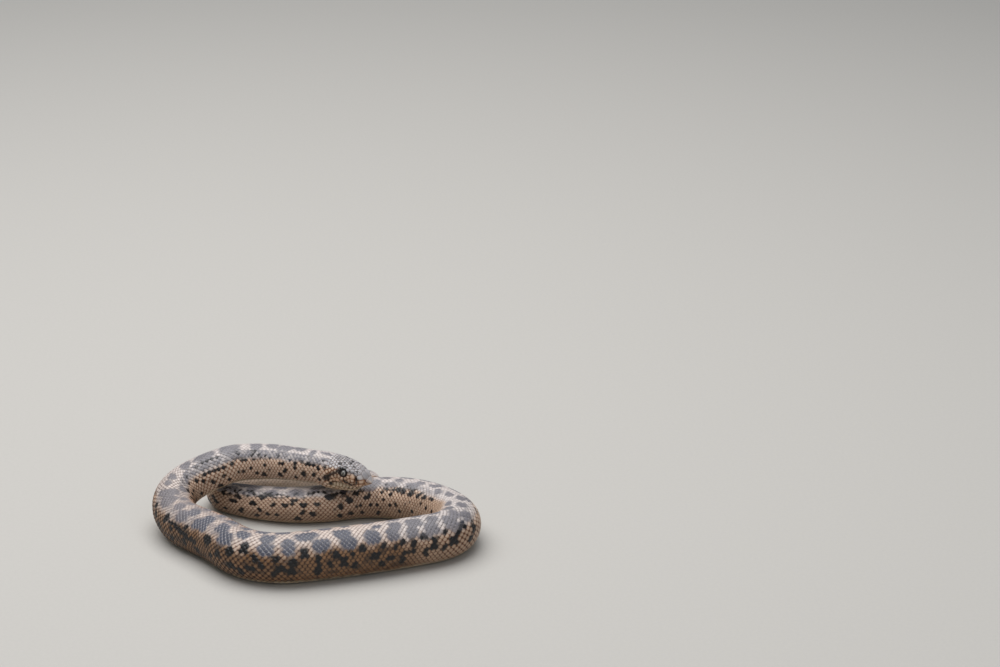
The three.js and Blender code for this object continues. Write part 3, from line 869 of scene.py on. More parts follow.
def makeScaleMaterial(name, paleName, flankName):
    material, tree, shader = newMaterial(name)
    back, grey, black, belly, warm, low, inked = (attributeNode(tree, mark) for mark in markNames)
    fine, broad = noiseNode(tree, *scaleFinish["fineGrain"]), noiseNode(tree, *scaleFinish["clouds"])
    outwards = mathNode(tree, "ADD", attributeNode(tree, "edge"), scaled(tree, fine, scaleFinish["ragged"]))
    margin = rampNode(tree, outwards, *scaleFinish["margin"])
    net = rampNode(tree, outwards, *scaleFinish["net"])

    def edged(colourName, edge):
        return mixColours(tree, edge, linear(paint[colourName]), linear(paint[colourName + "Edge"]))

    # the low mark lays painted shade on the flanks, darker and browner towards the ground
    flank = mixColours(tree, low, edged(flankName, net), edged("shadedFlank", net))
    colour = mixColours(tree, back, flank, edged(paleName, margin))
    warmth = scaled(tree, warm, scaleFinish["warmth"])
    colour = mixColours(tree, warmth, colour, linear(paint["warm"]))
    colour = mixColours(tree, belly, colour, edged("belly", margin))
    colour = mixColours(tree, grey, colour, edged("grey", margin))
    outline = mathNode(tree, "MULTIPLY", inked, rampNode(tree, outwards, *scaleFinish["inkLine"]))
    colour = mixColours(tree, outline, colour, linear(paint["ink"]))
    colour = mixColours(tree, black, colour, edged("black", margin))
    light = scaled(tree, attributeNode(tree, "tone"), scaleFinish["ownTone"], scaleFinish["darkest"])
    light = mathNode(tree, "ADD", light, scaled(tree, broad, scaleFinish["clouding"]))
    tree.links.new(shadeColour(tree, colour, light), shader.inputs["Base Color"])
    least, most = scaleFinish["roughness"]
    tree.links.new(scaled(tree, fine, most - least, least), shader.inputs["Roughness"])
    setSockets(shader, scaleFinish["sockets"])
    bumpNode(tree, shader, fine, *scaleFinish["bump"])
    return material


skinFinish = {
    "roughness": (0.6, 0.8), "bump": (0.6, 0.00004), "fineGrain": (3500, 4), "clouds": (300, 3),
    "darkest": 0.7, "clouding": 0.5,
}


def makeSkinMaterial():
    material, tree, shader = newMaterial("skinBetweenScales")
    fine, broad = noiseNode(tree, *skinFinish["fineGrain"]), noiseNode(tree, *skinFinish["clouds"])
    colour = linear(paint["skin"])
    for mark in ("back", "belly", "grey", "black"):
        markColour = linear(paint["skin" + mark.capitalize()])
        colour = mixColours(tree, attributeNode(tree, mark), colour, markColour)
    light = scaled(tree, broad, skinFinish["clouding"], skinFinish["darkest"])
    tree.links.new(shadeColour(tree, colour, light), shader.inputs["Base Color"])
    least, most = skinFinish["roughness"]
    tree.links.new(scaled(tree, fine, most - least, least), shader.inputs["Roughness"])
    bumpNode(tree, shader, fine, *skinFinish["bump"])
    return material


scaleMaterial = makeScaleMaterial("bodyScales", "paleBack", "flank")
headMaterial = makeScaleMaterial("headPlates", "crown", "cheek")
skinMaterial = makeSkinMaterial()
print("materials made")


skin = {
    "front": (0, 0.015, 0.045, 0.095, 0.165, 0.265, 0.385, 0.525),     # runs of the rings at the snout's tip
    "headStep": 0.16, "bodyStep": 0.7, "tipRings": 16,
    "columns": (36, 12, 14),    # on each side: back to lips, over the lips, lips to belly
    "lipSpan": 8,               # degrees on each side of the mouth line with close columns
    "lipShare": 0.6,            # and how much of the way down to the belly they may take
    "mergeWithin": 0.000001,
}


def skinRuns():
    front, headEnd = np.array(skin["front"]), headShape["end"]
    head = np.arange(front[-1] + skin["headStep"], headEnd, skin["headStep"])
    body = np.arange(headEnd + 0.2, totalRun - lie["tailTip"], skin["bodyStep"])
    tip = lie["tailTip"] * (1 - np.sin(np.radians(np.linspace(0, 90, skin["tipRings"]))))
    return np.concatenate([front, head, body, totalRun - tip])


def skinTurns(runs):
    toLip, overLip, toBelly = skin["columns"]
    lip = np.degrees(lipTurnAt(runs))[:, None]
    span = np.minimum(skin["lipSpan"], (180 - lip) * skin["lipShare"])
    half = np.concatenate([
        (lip - span) * np.linspace(0, 1, toLip, endpoint=False),
        lip - span + 2 * span * np.linspace(0, 1, overLip, endpoint=False),
        lip + span + (180 - lip - span) * np.linspace(0, 1, toBelly + 1)], axis=1)
    return np.radians(np.concatenate([-half[:, :0:-1], half], axis=1))


def makeSkin():
    # one closed sheet from snout to tail, whose two ends and long seam are merged
    runs = skinRuns()
    turns = skinTurns(runs)
    rows, columns = turns.shape
    runGrid = np.repeat(runs[:, None], columns, 1)
    points = toFrame(surfacePoint(runGrid, turns))
    points[0] = points[0].mean(0)
    points[-1] = points[-1].mean(0)
    clearSelection()
    bpy.ops.mesh.primitive_grid_add(x_subdivisions=columns - 1, y_subdivisions=rows - 1, size=1)
    piece = bpy.context.object
    piece.name = piece.data.name = "skin"
    moveVertices(piece.data, points)
    addMarks(piece.data, markingsAt(runGrid, turns))
    dropMaps(piece.data)
    addBakeMap(piece.data, bakeU(runGrid), bakeV(turns))
    turnOutwards(skin["mergeWithin"])
    bpy.ops.object.shade_smooth()
    finishPiece(piece, skinMaterial)
    torso = ["torso_%d" % number for number in range(1, 13)]
    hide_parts("head", "neck", *torso, "tail")
    print("skin", len(piece.data.polygons), "faces")


makeSkin()


scaleRows = {
    "start": 13.6,              # the head's own plates end here
    # scale rows on each side of the middle one
    "perSide": [(0, 17), (36, 17), (82, 20.5), (245, 20.5), (285, 15.5), (318, 10)],
    "span": 158,                # turn of the edge of the belly plates
    "spread": 0.2,              # how much wider the low rows are than those on the back
    "length": (0.88, 0.065),    # spacing along the body: at no girth, and more for each mm of girth
    "width": (1.02, 0.86),      # half width of a scale in row spacings, on the back and on the flank
    "flank": (45, 75),          # degrees over which the one becomes the other
    "flankLength": 0.95,
    "stretch": (0.55, 1.12),    # how far scales shrink inside a bend and grow outside it
    "tilt": (0.88, 1.0),        # lift of the single scales
    "perPiece": 2000,
    "ownColour": 0.55,          # how far each scale keeps to one colour of its own
    "blackFrom": (0.15, 0.7),   # a scale is black or not, with little between
    "faces": (4, 4),            # faces of a scale, along and across
    # its outline from front to rear: place on the grid, place in scale lengths and half width
    "outline": [(-1, -0.66, 0.34), (-0.5, -0.34, 0.8), (0, 0.02, 1.0), (0.5, 0.36, 0.74), (1, 0.6, 0.26)],
    "rise": (-0.75, 0.35, -0.15),               # the scale climbs between these places, from this height
    "sides": 0.42, "ends": (0.25, 0.6, 1.1),    # how much lower its sides and ends are than its middle
    "root": -0.35,              # its underside, in coat depths, which is inside the skin
}
tailCap = {"length": 1.7, "tone": 0.4, "point": 0.8, "height": 0.9, "segments": (48, 24)}


def rowTurn(row, run):
    x = row / (throughStations(scaleRows["perSide"], run) + 0.5)
    return np.radians(scaleRows["span"]) * ((1 - scaleRows["spread"]) * x + scaleRows["spread"] * x**3)


def scaleRuns():
    runs = [scaleRows["start"]]
    base, more = scaleRows["length"]
    while runs[-1] < totalRun - tailCap["length"] * 0.8:
        runs.append(runs[-1] + 0.5 * (base + more * float(girthAt(runs[-1]))))
    return np.array(runs)


def scalePlaces():
    # places in staggered rows: run, turn, spacing along and row spacing in radians
    places = []
    runs = scaleRuns()
    for number, run in enumerate(runs[:-1]):
        perSide = int(throughStations(scaleRows["perSide"], run))
        rows = np.arange(-perSide, perSide + 1)
        rows = rows[(rows + number) % 2 == 0]
        spacing = rowTurn(rows + 0.5, run) - rowTurn(rows - 0.5, run)
        along = 2 * (runs[number + 1] - run)
        places += [(run, turn, along, wide) for turn, wide in zip(rowTurn(rows, run), spacing)]
    return np.array(places)


def makeLeaf():
    # one body scale: a domed leaf that is rooted in front and lifts to its rear edge.
    # x is along the body in scale lengths, y across in half widths, z the lift in coat depths
    leaf = makeSlab(*scaleRows["faces"])
    at, place, width = np.array(scaleRows["outline"]).T
    riseFrom, riseTo, lowest = scaleRows["rise"]
    drop, dropFrom, dropTo = scaleRows["ends"]
    for vertex in leaf.data.vertices:
        x, y, z = vertex.co
        along = np.interp(x, at, place)
        crown = 1 - scaleRows["sides"] * y * y - drop * ease(abs(x), dropFrom, dropTo)
        top = mix(lowest, 1, ease(along, riseFrom, riseTo)) * crown
        vertex.co = (along, y * np.interp(x, at, width), top if z > 0.5 else scaleRows["root"])
    print("leaf", len(leaf.data.vertices), "vertices", len(leaf.data.polygons), "faces")
    return keepMesh(leaf)


def stretchAt(run, turn):
    # length on the surface for each millimetre of run
    ahead = surfacePoint(run + 0.3, turn, coat["depth"])
    behind = surfacePoint(run - 0.3, turn, coat["depth"])
    return np.linalg.norm(ahead - behind, axis=-1) / 0.6


def makeBodyScales():
    places = scalePlaces()
    run, turn, along, across = places.T
    stretch = stretchAt(run, turn)
    onFlank = ease(np.abs(np.degrees(turn)), *scaleRows["flank"])
    length = along * np.clip(stretch, *scaleRows["stretch"]) / stretch
    length = length * mix(1, scaleRows["flankLength"], onFlank)
    wide = across * mix(*scaleRows["width"], onFlank)
    leaf = makeLeaf()
    local = vertexPlaces(leaf)
    x, y, z = local.T[:, None]
    front = -scaleRows["outline"][0][1]
    edge = np.clip(np.maximum(np.abs(y), np.abs(x) / 0.62), 0, 1)
    tone = random.uniform(0, 1, len(places))
    tilt = random.uniform(*scaleRows["tilt"], len(places))
    marks = markingsAt(run, turn)
    pieces = math.ceil(len(places) / scaleRows["perPiece"])
    for number, part in enumerate(np.array_split(np.arange(len(places)), pieces)):
        atRun = run[part, None] + x * length[part, None]
        atTurn = turn[part, None] + y * wide[part, None]
        points = toFrame(surfacePoint(atRun, atTurn, z * coat["depth"] * tilt[part, None]))
        piece = joinCopies("bodyScales%d" % (number + 1), leaf, points)
        coloured = mix(markingsAt(atRun, atTurn), marks[part][:, None], scaleRows["ownColour"])
        coloured[..., blackMark] = ease(coloured[..., blackMark], *scaleRows["blackFrom"])
        addMarks(piece.data, coloured, np.tile(edge, len(part)), np.repeat(tone[part], len(local)))
        u = bakeU(run[part, None]) + bakePatch * x / front
        v = bakeV(turn[part, None]) + bakePatch * y
        addBakeMap(piece.data, u, v)
        finishPiece(piece, scaleMaterial)
    print(len(places), "body scales in", pieces, "pieces")


makeBodyScales()


def makeTailCap():
    # the single blunt scale that ends the tail
    clearSelection()
    around, rings = tailCap["segments"]
    bpy.ops.mesh.primitive_uv_sphere_add(segments=around, ring_count=rings, radius=1)
    cap = bpy.context.object
    cap.name = cap.data.name = "tailCap"
    x, y, z = vertexPlaces(cap.data).T
    high = np.clip(np.abs(z), 0, 1)
    run = totalRun - tailCap["length"] * (1 - high ** tailCap["point"])
    turn = np.arctan2(y, x)
    # the sphere's lower half is folded up under its upper half
    lift = np.where(z >= -0.01, ease(high, -0.2, 0.3) * tailCap["height"], scaleRows["root"]) * coat["depth"]
    moveVertices(cap.data, toFrame(surfacePoint(run, turn, lift)))
    addMarks(cap.data, markingsAt(run, turn), 0.9 * (1 - high), np.full(len(x), tailCap["tone"]))
    dropMaps(cap.data)
    addBakeMap(cap.data, bakeU(totalRun - 1) + bakePatch * x, bakeV(0) + bakePatch * y)
    turnOutwards()
    bpy.ops.object.shade_smooth()
    finishPiece(cap, scaleMaterial)
    print("tail cap made")


makeTailCap()


bellyPlates = {
    "start": 14.5, "halfTurn": 24,
    "faces": (4, 14),                   # of a plate, along and across
    "overlap": 0.12, "back": 0.05,      # in plate lengths
    "curve": 0.22,                      # how far forwards the rear edge bends at its ends
    "rise": (-0.6, 0.45, -0.15, 0.95),  # a plate climbs between these places, and these heights
    "sides": 0.3,                       # how much lower its two ends are
    "mapV": 0.99,                       # their own line in the UV map
}


def makeBellyPlates():
    # a row of wide plates, each rooted under the one in front of it
    plate = makeSlab(*bellyPlates["faces"])
    local = vertexPlaces(plate.data)
    leaf = keepMesh(plate)
    x, y, z = local.T
    edge = np.clip(np.maximum(np.abs(y) ** 3, np.abs(x) ** 3), 0, 1)
    along = (0.5 + bellyPlates["overlap"]) * x + bellyPlates["back"]
    along = along - bellyPlates["curve"] * np.abs(y) ** 3 * (x + 1) / 2
    riseFrom, riseTo, lowest, highest = bellyPlates["rise"]
    high = mix(lowest, highest, ease(along, riseFrom, riseTo)) * (1 - bellyPlates["sides"] * np.abs(y) ** 4)
    lift = np.where(z > 0.5, high, scaleRows["root"]) * coat["depth"]
    runs = scaleRuns()[2::2]
    runs = runs[(runs > bellyPlates["start"]) & (runs < totalRun - 2)]
    atRun = runs[:, None] + along * np.gradient(runs)[:, None]
    turn = math.pi + np.radians(bellyPlates["halfTurn"]) * y * np.ones((len(runs), 1))
    piece = joinCopies("bellyPlates", leaf, toFrame(surfacePoint(atRun, turn, lift)))
    tone = np.repeat(random.uniform(0, 1, len(runs)), len(local))
    addMarks(piece.data, markingsAt(atRun, turn), np.tile(edge, len(runs)), tone)
    u = bakeU(runs[:, None]) + bakePatch * x
    v = bellyPlates["mapV"] + bakePatch * y + 0 * u
    addBakeMap(piece.data, u, v)
    finishPiece(piece, scaleMaterial)
    print(len(runs), "belly plates")


makeBellyPlates()


headPlates = {
    "gap": 0.03,                # width of the furrow between two plates
    "corner": 16,               # higher is sharper
    "angles": 24,               # a multiple of four
    # rings from the middle outwards: share of the way out, distance kept from the rim, share of the height
    "rings": [(0.4, 0, 1.0), (0.75, 0, 1.0), (1.0, 0.13, 0.97), (1.0, 0.04, 0.7), (1.0, 0, -0.35)],
    "rimWidth": 2.4,            # how fast the edge colour fades in from the rim
    "dome": 0.16, "lean": 0.12,             # drop to the sides and rise to the rear, in coat depths
    "step": 0.1, "farthest": 3.0,           # how a cell's edge is looked for
    "neighbours": 26,
    "settling": (0.2, 0.2), "settlingShare": 0.6,       # rounds in which small scales move to their middles
    # run, turn, size, on both sides unless the turn is 0 or 180; the first is the wide plate in front
    "named": [
        (0.3, 0, 1.0), (0.4, 180, 0.9), (2.1, 180, 0.7), (1.95, 29, 1.0), (2.85, 59, 0.8),
        (4.85, 62, 0.66), (2.6, 82, 0.6), (3.75, 87, 0.5), (3.3, 0, 0.5), (3.35, 26, 0.58),
        (4.1, 45, 0.5), (3.35, 180, 0.75), (4.7, 166, 0.6), (4.9, 146, 0.5), (0.9, 114, 0.85),
        (2.2, 114, 0.5), (2.3, 138, 0.5),
    ],
    "rostral": [(0.5, 78, 0.75)],           # further middles of the wide plate in front
    # plates along the lips: first and last run, number, distance from the line of the mouth, size
    "upperLips": (2.7, 11.5, 10, 0.62, 0.62),
    "lowerLips": (4.1, 11.4, 9, 0.58, 0.58),
    "lipEnd": 105,                          # the upper ones reach down no farther than this turn
    # ring round the eye: number, first angle, distance from the eye's middle, size
    "oculars": (10, 0.2, 1.55, 0.5),
    "eyeSize": 1.2, "nostrilSize": 0.16,    # bare places
    # small scales between the named ones: spacing, first and last run
    "fill": 0.98, "fillFrom": 3.4, "lastRun": 15.6,
    "rowPitch": 0.86, "rowShift": 0.09, "clearance": 0.42,
    "bodyScaleSize": 0.5,
    "ownColour": 0.45,          # how far each plate keeps to one colour of its own
    "soot": 0.07, "sootVaries": (0.4, 1.4),     # dark rims of the plates on the crown
    "tone": (0.15, 1.15),
}


def plateSites():
    # run, turn in radians, size and number of the plate; then of the places that stay bare
    sites = []

    def add(run, turn, size, plate=None):
        sites.append((run, turn, size, len(sites) if plate is None else plate))

    for run, degrees, size in headPlates["named"]:
        for hand in (1,) if degrees in (0, 180) else (1, -1):
            add(run, math.radians(degrees) * hand, size)
    eyeRun, eyeTurn = eyeSocket["run"], math.radians(eyeSocket["turn"])
    for hand in (1, -1):
        first, last, number, away, size = headPlates["upperLips"]
        for run in np.linspace(first, last, number):
            lip = float(lipTurnAt(run))
            reach = float(radiusAt(run, lip, False))
            add(run, hand * min(lip - away / reach, math.radians(headPlates["lipEnd"])), size)
        first, last, number, away, size = headPlates["lowerLips"]
        for run in np.linspace(first, last, number):
            lip = float(lipTurnAt(run))
            reach = float(radiusAt(run, lip + 0.1, False))
            add(run, hand * (lip + away / reach), size)
        number, start, away, size = headPlates["oculars"]
        for angle in np.linspace(0, 2 * math.pi, number, endpoint=False) + start:
            turn = eyeTurn + away * math.sin(angle) / besideEye
            add(eyeRun + away * math.cos(angle), hand * turn, size)
    named = np.array(sites)
    sites.clear()
    for hand in (1, -1):
        for run, degrees, size in headPlates["rostral"]:
            add(run, math.radians(degrees) * hand, size, 0)
        add(eyeRun, hand * eyeTurn, headPlates["eyeSize"], -1)
        add(nostril["run"], hand * math.radians(nostril["turn"]), headPlates["nostrilSize"], -1)
    for run, turn, along, across in scalePlaces():
        if run < headPlates["lastRun"] + 1.5:
            add(run, turn, headPlates["bodyScaleSize"], -1)
    return named, np.array(sites)


def onHead(run, turn):
    # a point of the head's skin as it would be without its hollows
    return toFrame(surfacePoint(run, turn, 0, False))


def headForm():
    # the head's skin without its hollows, to lay plates on
    runs = np.concatenate([[0, 0.03, 0.08, 0.16, 0.26, 0.38, 0.5], np.arange(0.65, 20, 0.2)])
    turns = np.radians(np.arange(-180, 180, 2.0))
    points = onHead(runs[:, None], turns[None])
    points[0] = points[0].mean(0)
    rows, columns = points.shape[:2]
    number = np.arange(rows * columns).reshape(rows, columns)
    beside = np.roll(number, -1, 1)
    faces = np.stack([number[:-1], number[1:], beside[1:], beside[:-1]], -1).reshape(-1, 4)
    return BVHTree.FromPolygons(points.reshape(-1, 3).tolist(), faces.tolist())


def layOn(form, points):
    # nearest points of the form and its outward normals there
    found = [form.find_nearest(Vector(point)) for point in points.reshape(-1, 3).tolist()]
    place = np.array([hit[0] for hit in found]).reshape(points.shape)
    normal = np.array([hit[1] for hit in found]).reshape(points.shape)
    return place, normal


def bodyCoordinates(points, guess):
    # run and turn of points in the frame, from a first guess of the run that is bettered in rounds
    flat = points / mm - shift
    run = np.clip(np.array(guess, float), 0, None)
    for attempt in range(4):
        centre, back, side, up = spineFrame(run)
        run = np.clip(run + ((flat - centre) * back).sum(-1), 0, totalRun)
    centre, back, side, up = spineFrame(run)
    across, high = ((flat - centre) * side).sum(-1), ((flat - centre) * up).sum(-1)
    return run, np.arctan2(across, high - middleAt(run))


def fillSites(taken):
    # small scales between the named plates, spread evenly: run and turn of each
    spacing, clearance = headPlates["fill"], headPlates["clearance"]
    pitch = headPlates["rowPitch"]
    taken, added = list(taken), []
    for row, run in enumerate(np.arange(headPlates["fillFrom"], headPlates["lastRun"], spacing * pitch)):
        around = np.arange(-40, 41) * (spacing / max(float(girthAt(run)) * pitch, 1))
        around = around + (row % 2) * headPlates["rowShift"]
        for turn in around[np.abs(around) < math.pi]:
            point = onHead(run, turn)
            gaps = [np.linalg.norm(point - other) / mm - clearance * (size + spacing * 0.5)
                    for other, size in taken]
            if min(gaps) > spacing * clearance:
                taken.append((point, spacing * 0.5))
                added.append((run, turn))
    return added


def surfaceAxes(normals, runs):
    # directions along the body and across it in the surface at each point
    back = spineFrame(runs)[1]
    along = back - normals * (back * normals).sum(-1, keepdims=True)
    upright = np.linalg.norm(along, axis=-1) < 0.2
    along[upright] = np.cross(normals[upright], [0, 0, 1.0])
    along /= np.linalg.norm(along, axis=-1, keepdims=True)
    return along, np.cross(normals, along)


def traceCells(form, points, sizes, plates, count, axes, step):
    # walk outwards over the form from each plate's middle, and stop at the furrows round it.
    # The result is one way out for every angle: places at each step, and its length
    angles = np.linspace(0, 2 * math.pi, headPlates["angles"], endpoint=False)
    way = np.cos(angles)[None, :, None] * axes[0][:, None] + np.sin(angles)[None, :, None] * axes[1][:, None]
    gaps = np.linalg.norm(points[:count, None] - points[None], axis=-1) / mm
    gaps[plates[None] == np.arange(count)[:, None]] = math.inf
    others = np.argsort(gaps, axis=1)[:, :headPlates["neighbours"]]
    # the wide plate in front has several middles, the other plates one each
    spare = np.flatnonzero((plates == 0) & (np.arange(len(plates)) >= count))
    members = np.repeat(np.arange(count)[:, None], 1 + len(spare), 1)
    members[0, 1:] = spare
    place = np.repeat(points[:count, None], len(angles), 1)
    track, room = [place], [np.full(place.shape[:2], headPlates["farthest"])]
    for number in range(round(headPlates["farthest"] / step)):
        place, normal = layOn(form, place + way * step * mm)
        way = way - normal * (way * normal).sum(-1, keepdims=True)
        way /= np.linalg.norm(way, axis=-1, keepdims=True)

        def powerTo(index):
            away = np.linalg.norm(place[:, :, None] - points[index][:, None], axis=-1) / mm
            return away**2 - sizes[index][:, None] ** 2

        own = powerTo(members)
        home = points[np.take_along_axis(members, np.argmin(own, axis=2), 1)]
        apart = np.linalg.norm(points[others][:, None] - home[:, :, None], axis=-1) / mm
        clear = (powerTo(others) - own.min(2)[..., None]) / (2 * np.maximum(apart, 0.3))
        # the soft minimum of the distances to the furrows rounds the plate's corners
        sharp = headPlates["corner"]
        room.append(-np.log(np.exp(-sharp * np.clip(clear, -2, 4)).sum(-1)) / sharp - headPlates["gap"] / 2)
        track.append(place)
    track, room = np.array(track), np.array(room)
    last = np.argmax(room < 0, axis=0)
    last = np.where(last == 0, len(room) - 1, last)
    before = np.take_along_axis(room, last[None] - 1, 0)[0]
    after = np.take_along_axis(room, last[None], 0)[0]
    reach = last - 1 + np.clip(before / np.maximum(before - after, 1e-6), 0, 1)
    return track, np.maximum(reach, 0.5)


def alongTrack(track, steps):
    low = np.clip(np.floor(steps).astype(int), 0, len(track) - 2)
    near = np.take_along_axis(track, low[None, ..., None], 0)[0]
    far = np.take_along_axis(track, low[None, ..., None] + 1, 0)[0]
    return mix(near, far, (steps - low)[..., None])


def layOutPlates(form):
    # points of every plate, middle first and then ring by ring, and the plates' own runs and turns
    named, bare = plateSites()
    taken = [(onHead(run, turn), size) for run, turn, size, plate in np.concatenate([named, bare])]
    spacing = headPlates["fill"]
    filled = np.array([(run, turn, spacing * 0.5, 0) for run, turn in fillSites(taken)])
    filled[:, 3] = len(named) + np.arange(len(filled))
    count = len(named) + len(filled)
    runs, turns, sizes, plates = np.concatenate([named, filled, bare]).T
    points, normals = layOn(form, onHead(runs, turns))
    for step in (*headPlates["settling"], headPlates["step"]):
        axes = surfaceAxes(normals[:count], runs[:count])
        track, reach = traceCells(form, points, sizes, plates, count, axes, step)
        if step > headPlates["step"]:
            middle = alongTrack(track, reach).mean(1)[len(named):]
            points[len(named):count] = mix(points[len(named):count], middle, headPlates["settlingShare"])
            points, normals = layOn(form, points)
    backward = np.cos(np.linspace(0, 2 * math.pi, headPlates["angles"], endpoint=False))
    size = reach.mean(1, keepdims=True)
    top, depth = 1 - headPlates["lean"], coat["depth"] * mm
    layers = [points[:count, None] + normals[:count, None] * top * depth]
    for out, inset, share in headPlates["rings"]:
        way = np.maximum(reach * out - inset / headPlates["step"], 0.5 * reach * out)
        place, normal = layOn(form, alongTrack(track, way))
        high = top - headPlates["dome"] * (way / size) ** 2 + headPlates["lean"] * backward * way / size
        high = np.minimum(high, 1) * share if share > 0 else share
        layers.append(place + normal * (high * np.ones_like(way) * depth)[..., None])
    return np.concatenate(layers, axis=1), runs[:count], turns[:count]


def makePlate():
    # a disc of rings, its rim turned down and closed below; z counts the rings from the rim
    clearSelection()
    bpy.ops.mesh.primitive_circle_add(vertices=headPlates["angles"], radius=1, fill_type="NGON")
    disc = bpy.context.object
    bpy.ops.object.mode_set(mode="EDIT")
    bpy.ops.mesh.select_all(action="SELECT")
    for step in headPlates["rings"][1:]:
        bpy.ops.mesh.extrude_region_move(TRANSFORM_OT_translate={"value": (0, 0, 1)})
    bpy.ops.mesh.poke()
    bpy.ops.object.mode_set(mode="OBJECT")
    turnOutwards()
    return keepMesh(disc)


def makeHeadPlates():
    layout, runs, turns = layOutPlates(headForm())
    count, angles, rings = len(runs), headPlates["angles"], headPlates["rings"]
    plate = makePlate()
    # the template's own corners say which ring and angle each belongs to
    x, y, z = vertexPlaces(plate).T
    ring = np.clip(len(rings) - 1 - np.round(z).astype(int), 0, None)
    angle = np.round(np.arctan2(y, x) / (2 * math.pi) * angles).astype(int) % angles
    middle = np.hypot(x, y) < 0.1
    place = layout[:, np.where(middle, 0, 1 + ring * angles + angle)]
    rimward = np.array([out - headPlates["rimWidth"] * inset for out, inset, share in rings])
    out = np.where(middle, 0, rimward[ring])
    piece = joinCopies("headPlates", plate, place)
    run, turn = bodyCoordinates(place, np.repeat(runs[:, None], len(x), 1))
    marks = mix(markingsAt(run, turn), markingsAt(runs, turns)[:, None], headPlates["ownColour"])
    sooty = marks[..., backMark] * headPlates["soot"] * ease(out, 0.7, 1)
    sooty = sooty * random.uniform(*headPlates["sootVaries"], (count, 1))
    marks[..., blackMark] = np.maximum(marks[..., blackMark], sooty)
    tone = np.repeat(random.uniform(*headPlates["tone"], count), len(x))
    addMarks(piece.data, marks, np.tile(out, count), tone)
    around = angle / angles * 2 * math.pi
    u = bakeU(runs[:, None]) + bakePatch * np.cos(around) * out
    v = bakeV(turns[:, None]) + bakePatch * np.sin(around) * out
    addBakeMap(piece.data, u, v)
    finishPiece(piece, headMaterial)
    print(count, "head plates")


makeHeadPlates()


eyeBall = {
    "run": 7.7, "side": 3.6, "up": 0.7, "radius": 1.05, "segments": (64, 40),
    "outward": (-0.12, 0.93, 0.33),     # the way it looks: back, to the side and up
    "pupil": (0.2, 0.6),                # half width and half height of the slit
    # colours here are linear ones
    "iris": ([0.22, 0.20, 0.17, 1], [0.47, 0.46, 0.42, 1]), "flecks": [0.16, 0.13, 0.09, 1],
    "rim": [0.03, 0.026, 0.024, 1], "black": [0.004, 0.004, 0.004, 1],
    "streakGrain": (9000, 3), "fleckGrain": (3000, 4),
    "streaked": (0.35, 0.7), "flecked": (0.45, 0.65), "rimmed": (0.48, 0.68), "slitEdge": (0.8, 1.1),
    "sockets": {"Roughness": 0.3, "IOR": 1.4, "Coat Weight": 1.0, "Coat Roughness": 0.03},
}


def makeEyeMaterial():
    material, tree, shader = newMaterial("eyeSurface")
    streaks = rampNode(tree, noiseNode(tree, *eyeBall["streakGrain"]), *eyeBall["streaked"])
    flecks = rampNode(tree, noiseNode(tree, *eyeBall["fleckGrain"]), *eyeBall["flecked"])
    rim = rampNode(tree, attributeNode(tree, "rim"), *eyeBall["rimmed"])
    pastSlit = rampNode(tree, attributeNode(tree, "slit"), *eyeBall["slitEdge"])
    colour = mixColours(tree, flecks, mixColours(tree, streaks, *eyeBall["iris"]), eyeBall["flecks"])
    colour = mixColours(tree, rim, colour, eyeBall["rim"])
    colour = mixColours(tree, pastSlit, eyeBall["black"], colour)
    tree.links.new(colour, shader.inputs["Base Color"])
    setSockets(shader, eyeBall["sockets"])
    return material


def makeEyes():
    material = makeEyeMaterial()
    centre, back, side, up = (v[0] for v in spineFrame(np.array([eyeBall["run"]])))
    backward, sideward, upward = eyeBall["outward"]
    around, rings = eyeBall["segments"]
    radius = eyeBall["radius"] * mm
    for name, hand in (("right", 1), ("left", -1)):
        middle = toFrame(centre + side * eyeBall["side"] * hand + up * eyeBall["up"])
        outward = back * backward + side * hand * sideward + up * upward
        outward /= np.linalg.norm(outward)
        forward = -back - outward * (-back @ outward)
        forward /= np.linalg.norm(forward)
        upright = np.cross(forward, outward)
        upright *= np.sign(upright @ up)
        clearSelection()
        bpy.ops.mesh.primitive_uv_sphere_add(segments=around, ring_count=rings, radius=radius)
        ball = bpy.context.object
        ball.name = ball.data.name = name + "Eye"
        x, y, z = vertexPlaces(ball.data).T[..., None]
        moveVertices(ball.data, middle + x * forward + y * upright + z * outward)
        halfWidth, halfHeight = (half * mm for half in eyeBall["pupil"])
        addAttribute(ball.data, "rim", np.where(z > 0, np.hypot(x, y) / radius, 1))
        # the slit is on the ball's outer half alone
        addAttribute(ball.data, "slit", np.hypot(x / halfWidth, y / halfHeight) + 9 * (z < 0))
        dropMaps(ball.data)
        turnOutwards()
        bpy.ops.object.shade_smooth()
        finishPiece(ball, material)
        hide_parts("eye_" + name)
    print("eyes made")


makeEyes()


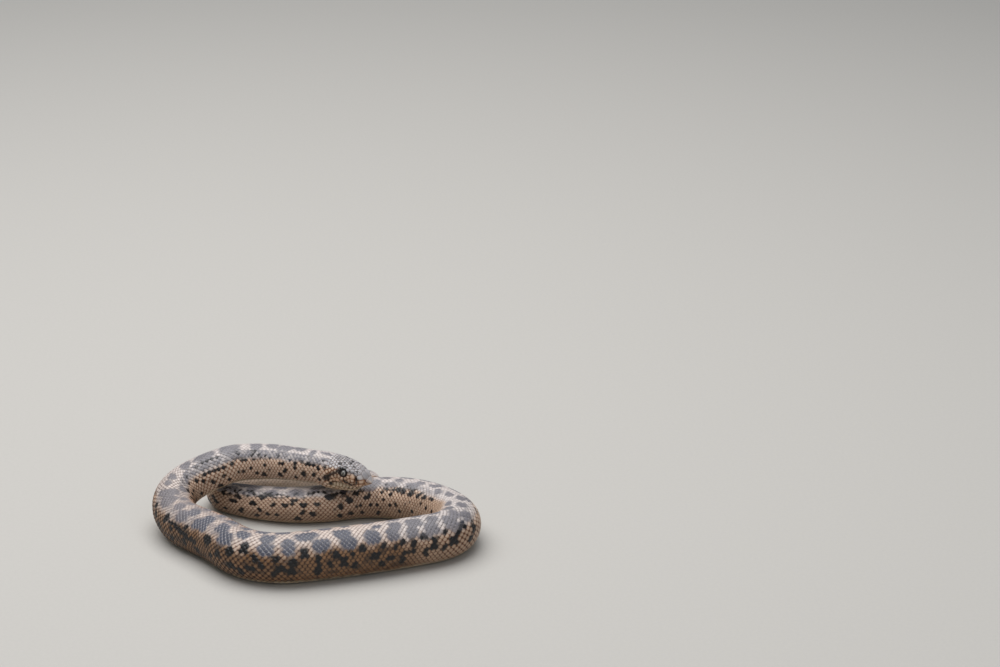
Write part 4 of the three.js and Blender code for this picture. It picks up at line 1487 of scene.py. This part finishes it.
studio = {
    "floor": (196, 192, 186), "floorShade": 0.97, "floorGrain": (900, 4), "floorRoughness": 0.85,
    "floorSize": 3.0,
    # soft lights: size, power, place
    "softbox": (0.9, 8.2, (-0.1, 0.12, 0.75)),
    "fill": (0.8, 1.2, (0.25, -0.7, 0.5)),
    "sky": {"Color": (0.78, 0.89, 1.0, 1), "Strength": 0.19},
    # camera, its place in the coil's own millimetres
    "lens": 100, "sensor": 36, "clipStart": 0.01,
    "cameraPlace": (0.0, -764.631, 372.935), "cameraTilt": 67.78, "cameraTurn": -4.23,
}


def makeFloor():
    clearSelection()
    bpy.ops.mesh.primitive_plane_add(size=studio["floorSize"])
    floor = bpy.context.object
    floor.name = floor.data.name = "floor"
    material, tree, shader = newMaterial("floorPaint")
    darker = linear([c * studio["floorShade"] for c in studio["floor"]])
    colour = mixColours(tree, noiseNode(tree, *studio["floorGrain"]), darker, linear(studio["floor"]))
    tree.links.new(colour, shader.inputs["Base Color"])
    setSockets(shader, {"Roughness": studio["floorRoughness"]})
    floor.data.materials.append(material)


def makeLights():
    for name in ("softbox", "fill"):
        size, power, place = studio[name]
        clearSelection()
        bpy.ops.object.light_add(type="AREA", location=place)
        lamp = bpy.context.object
        lamp.name = name
        lamp.data.size = size
        lamp.data.energy = power
        lamp.rotation_euler = (-Vector(place)).to_track_quat("-Z", "Y").to_euler()
    world = bpy.data.worlds.new("softSky")
    world.use_nodes = True
    setSockets(world.node_tree.nodes["Background"], studio["sky"])
    bpy.context.scene.world = world


def makeCamera():
    place = (np.array(studio["cameraPlace"]) + shift) * mm
    bpy.ops.object.camera_add(location=place.tolist())
    camera = bpy.context.object
    camera.data.lens = studio["lens"]
    camera.data.sensor_width = studio["sensor"]
    camera.data.clip_start = studio["clipStart"]
    camera.rotation_euler = (math.radians(studio["cameraTilt"]), 0, math.radians(studio["cameraTurn"]))
    bpy.context.scene.camera = camera
    bpy.context.scene.view_settings.view_transform = "Standard"


makeFloor()
makeLights()
makeCamera()
print("floor, lights and camera set")
